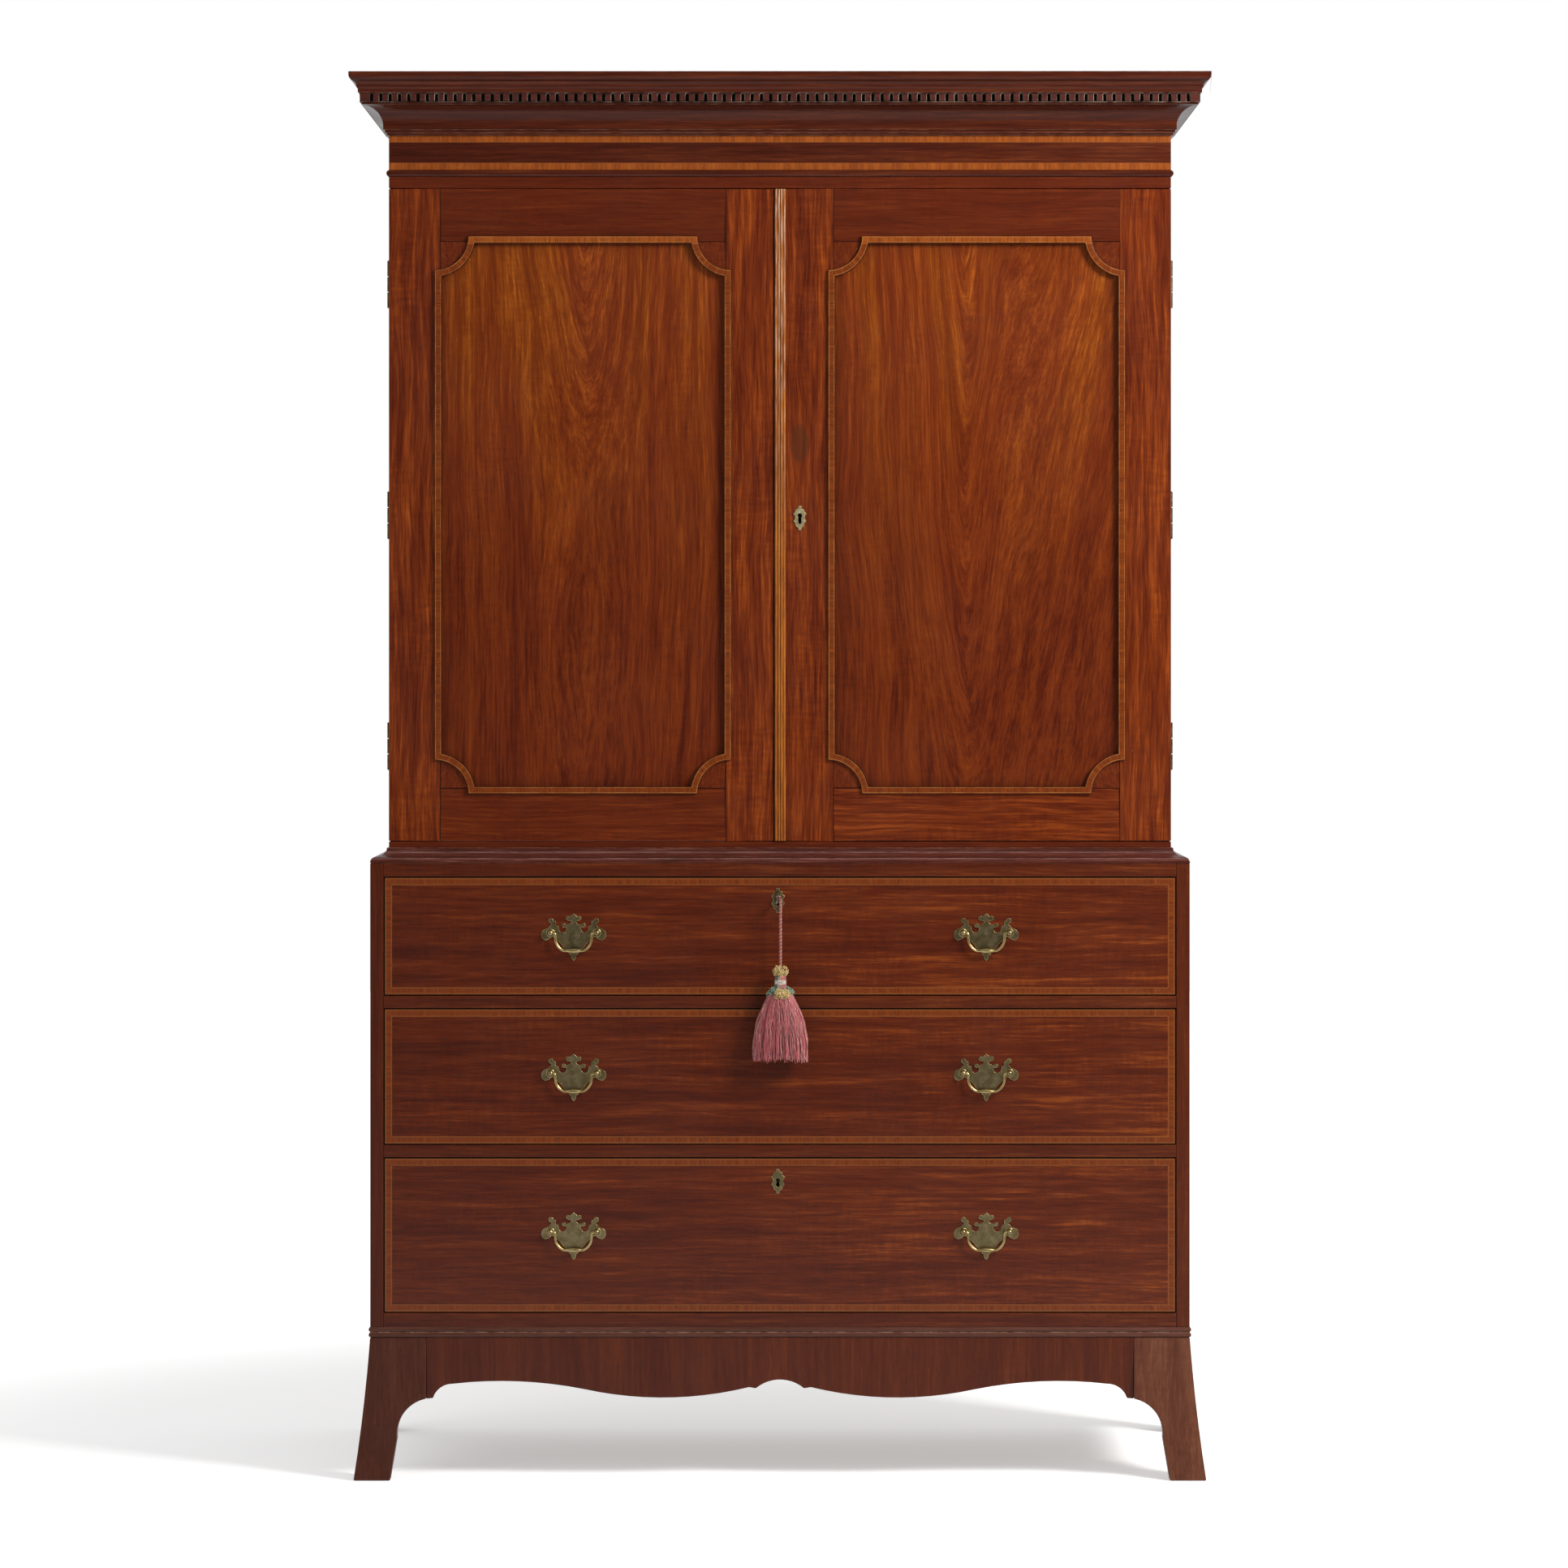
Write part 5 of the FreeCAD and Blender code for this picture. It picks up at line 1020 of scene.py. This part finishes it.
def ruff(name, seed, count, height, drop, width, depth, turns, material, size=0.0019):
    """A thick ruff of small curled loops of thread round the tassel."""
    chance = random.Random(seed)
    lines = []
    for _ in range(count):
        turn = turns[0] + (turns[1] - turns[0]) * chance.random()
        level = chance.uniform(-1, 1)
        reach = math.sqrt(1 - 0.75 * level * level) * chance.uniform(0.82, 1.0)
        centre = oval(height - drop / 2 + level * drop / 2, width * reach, depth * reach, turn)
        axis = Vector((chance.uniform(-1, 1), chance.uniform(-1, 1), chance.uniform(-1, 1))).normalized()
        side = axis.orthogonal().normalized()
        other = axis.cross(side)
        radius = size * chance.uniform(0.7, 1.1)
        lines.append([centre + (side * math.cos(bend) + other * math.sin(bend)) * radius
                      + axis * 0.0004 * bend for bend in (0.9 * step for step in range(8))])
    return threads(name, lines, 0.00066, material)


# the skirt's half width and half depth at each height
SKIRT = [(0.718, 0.0172, 0.0125), (0.706, 0.0226, 0.0148), (0.6925, 0.0292, 0.0165),
         (0.675, 0.035, 0.0178), (0.649, 0.0394, 0.0187), (0.6225, 0.0398, 0.019)]


def skirt_core():
    """The dense inside of the skirt, a lofted shell under the outer threads, whose dark silk paints the
    shade deep in the skirt.
    """
    shape = bmesh.new()
    around = 48
    rings = []
    for height, width, depth in SKIRT:
        ring = bmesh.ops.create_circle(shape, segments=around, radius=1.0)["verts"]
        bmesh.ops.scale(shape, verts=ring, vec=(width * 0.86, depth * 0.86, 1))
        bmesh.ops.translate(shape, verts=ring, vec=(TASSEL_X, TASSEL_Y, height + 0.0035))
        rings.append([edge for edge in shape.edges if edge.verts[0] in ring and edge.verts[1] in ring])
    for upper, lower in zip(rings, rings[1:]):
        bmesh.ops.bridge_loops(shape, edges=upper + lower)
    bmesh.ops.holes_fill(shape, edges=shape.edges, sides=around)
    # dark silk: painted shade between the outer threads
    shaded = silk("skirt shade", (0.1, 0.025, 0.03), (0.28, 0.08, 0.085))
    return mesh_piece("tassel_skirt_core", shape, shaded)


def skirt_threads(name, seed, count, material, locks, thickness, inner=0.88, outer=1.0):
    """Wavy silk threads gathered in locks, from the lower ruff to the skirt's foot."""
    chance = random.Random(seed)
    gathers = [(chance.uniform(-0.16, 0.16), chance.uniform(0, 6.28), chance.uniform(-0.004, 0.002))
               for _ in range(locks)]
    lines = []
    for _ in range(count):
        lock = chance.randrange(locks)
        lean, phase, lift = gathers[lock]
        turn = AROUND * (lock + chance.uniform(0.04, 0.96)) / locks
        drift = lean + chance.uniform(-0.07, 0.07)
        layer = chance.uniform(inner, outer)
        wave = chance.uniform(0.0008, 0.002)
        ripple = phase + chance.uniform(-0.8, 0.8)
        line = []
        for step in range(2 * len(SKIRT) - 1):
            share = step / (2 * len(SKIRT) - 2)
            upper, lower = SKIRT[step // 2], SKIRT[(step + 1) // 2]
            height, width, depth = (0.5 * (first + second) for first, second in zip(upper, lower))
            at = oval(height, width * layer, depth * layer, turn + drift * share)
            sway = wave * math.sin(ripple + 1.9 * step) * min(1.0, 0.25 + 1.6 * share)
            line.append(at + Vector((sway, 0.4 * sway * math.cos(ripple), 0)))
        line[-1].z = max(line[-1].z + lift + chance.uniform(-0.003, 0.004), SKIRT_FOOT)
        lines.append(line)
    return threads(name, lines, thickness, material)


def strays(material):
    """Loose threads that stand away from the skirt."""
    chance = random.Random(91)
    lines = []
    for _ in range(26):
        turn = chance.uniform(0, AROUND)
        line = []
        drift = chance.uniform(-0.5, 0.5)
        for step, (height, width, depth) in enumerate(SKIRT[1:]):
            share = step / (len(SKIRT) - 2)
            bulge = 1.0 + 0.04 * math.sin(math.pi * share)
            at = oval(height, width * bulge, depth * bulge, turn + drift * share * share)
            line.append(at + Vector((chance.uniform(-0.0012, 0.0012), 0, 0)))
        line[-1].z = max(line[-1].z, SKIRT_FOOT + 0.0003)
        lines.append(line)
    return threads("tassel_stray_threads", lines, 0.00022, material)


def tassel():
    gold = silk("gold silk", (0.34, 0.22, 0.065), (0.68, 0.5, 0.2))
    green = silk("green silk", (0.08, 0.14, 0.095), (0.27, 0.37, 0.26))
    rose = silk("rose silk", (0.27, 0.045, 0.05), (0.48, 0.115, 0.125))
    deep = silk("deep rose silk", (0.16, 0.026, 0.034), (0.34, 0.07, 0.08))
    # the pale rose silk paints glints on the skirt's outermost threads and on the strays
    pale = silk("pale rose silk", (0.46, 0.15, 0.15), (0.7, 0.34, 0.31))
    pieces = [
        tassel_neck(),
        ruff("tassel_upper_ruff", 5, 160, 0.7578, 0.0132, 0.01, 0.0092, (0, AROUND), gold),
        ruff("tassel_lower_ruff_green", 8, 250, 0.7275, 0.02, 0.0192, 0.012, (0, AROUND), green, 0.0021),
        ruff("tassel_lower_ruff_gold", 12, 190, 0.7245, 0.0145, 0.0178, 0.0158, (-2.1, -0.62), gold, 0.002),
        skirt_core(),
        skirt_threads("tassel_skirt_deep", 21, 190, deep, 40, 0.00066, 0.85, 0.95),
        skirt_threads("tassel_skirt_rose", 22, 230, rose, 34, 0.00066, 0.9, 1.01),
        # painted glints: pale threads outermost in the skirt
        skirt_threads("tassel_skirt_glints", 23, 40, pale, 30, 0.0003, 0.98, 1.03),
        strays(pale),
    ]
    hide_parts("tassel")
    return pieces


# ------------------------ floor and surroundings

def floor():
    """A pale floor that keeps the shadow."""
    data = bpy.data.meshes.new("floor")
    shape = bmesh.new()
    bmesh.ops.create_grid(shape, x_segments=1, y_segments=1, size=12)
    shape.to_mesh(data)
    shape.free()
    ground = placed("floor", data)
    ground.location.z = -0.0005
    finish = Finish("pale floor")
    straight, glossy = ray_kinds(finish.tree)
    ahead = spread(finish.y, -6.0, -1.5, 0.02, 0.8)
    mirrored = place("ShaderNodeEmission", {"Color": WHITE, "Strength": ahead})
    paint = place("ShaderNodeBsdfDiffuse", {"Color": (0.8, 0.8, 0.8, 1)}, tree=finish.tree)
    farther = spread(length(finish.where), 1.1, 2.8, 0.38, 1.0)
    glow = place("ShaderNodeEmission", {"Color": WHITE, "Strength": farther})
    white = place("ShaderNodeBsdfDiffuse", {"Color": WHITE}, tree=finish.tree)
    both = place("ShaderNodeAddShader", {0: white, 1: glow})
    shader = place("ShaderNodeMixShader", {0: straight, 1: paint, 2: both})
    shader = place("ShaderNodeMixShader", {0: glossy, 1: shader, 2: mirrored})
    data.materials.append(finish.show(shader))


def surroundings():
    """White behind the press, a softer light all round, and a dim room in front of it."""
    scene.world = bpy.data.worlds.new("studio")
    tree = cleared_tree(scene.world)
    straight, glossy = ray_kinds(tree)
    _, y, _ = parts(place("ShaderNodeTexCoord", give="Generated", tree=tree))
    fill, mirrored, white = (place("ShaderNodeBackground", {"Color": WHITE, "Strength": strength}, tree=tree)
                             for strength in (0.5, spread(y, -0.8, -0.15, 0.01, 0.6), 1.0))
    lit = place("ShaderNodeMixShader", {0: glossy, 1: fill, 2: mirrored})
    shader = place("ShaderNodeMixShader", {0: straight, 1: lit, 2: white})
    feed(tree.nodes.new("ShaderNodeOutputWorld").inputs[0], shader)


# ------------------------ all of it together

camera()
floor()
surroundings()
lamp("key lamp", (1.1, 1.1), 132, (2.35, -2.0, 2.8), (0.15, -0.2, 1.1), (1, 0.985, 0.96))
lamp("soft lamp", (3.0, 3.0), 22, (-3.0, -3.2, 2.4), (0, 0, 1.0))

hanging, route, rose_cord = cord()
loop_pieces = cord_loop(rose_cord)
tassel_pieces = tassel()
dress_wood()
dress_metal()

scene.view_settings.view_transform = "Standard"
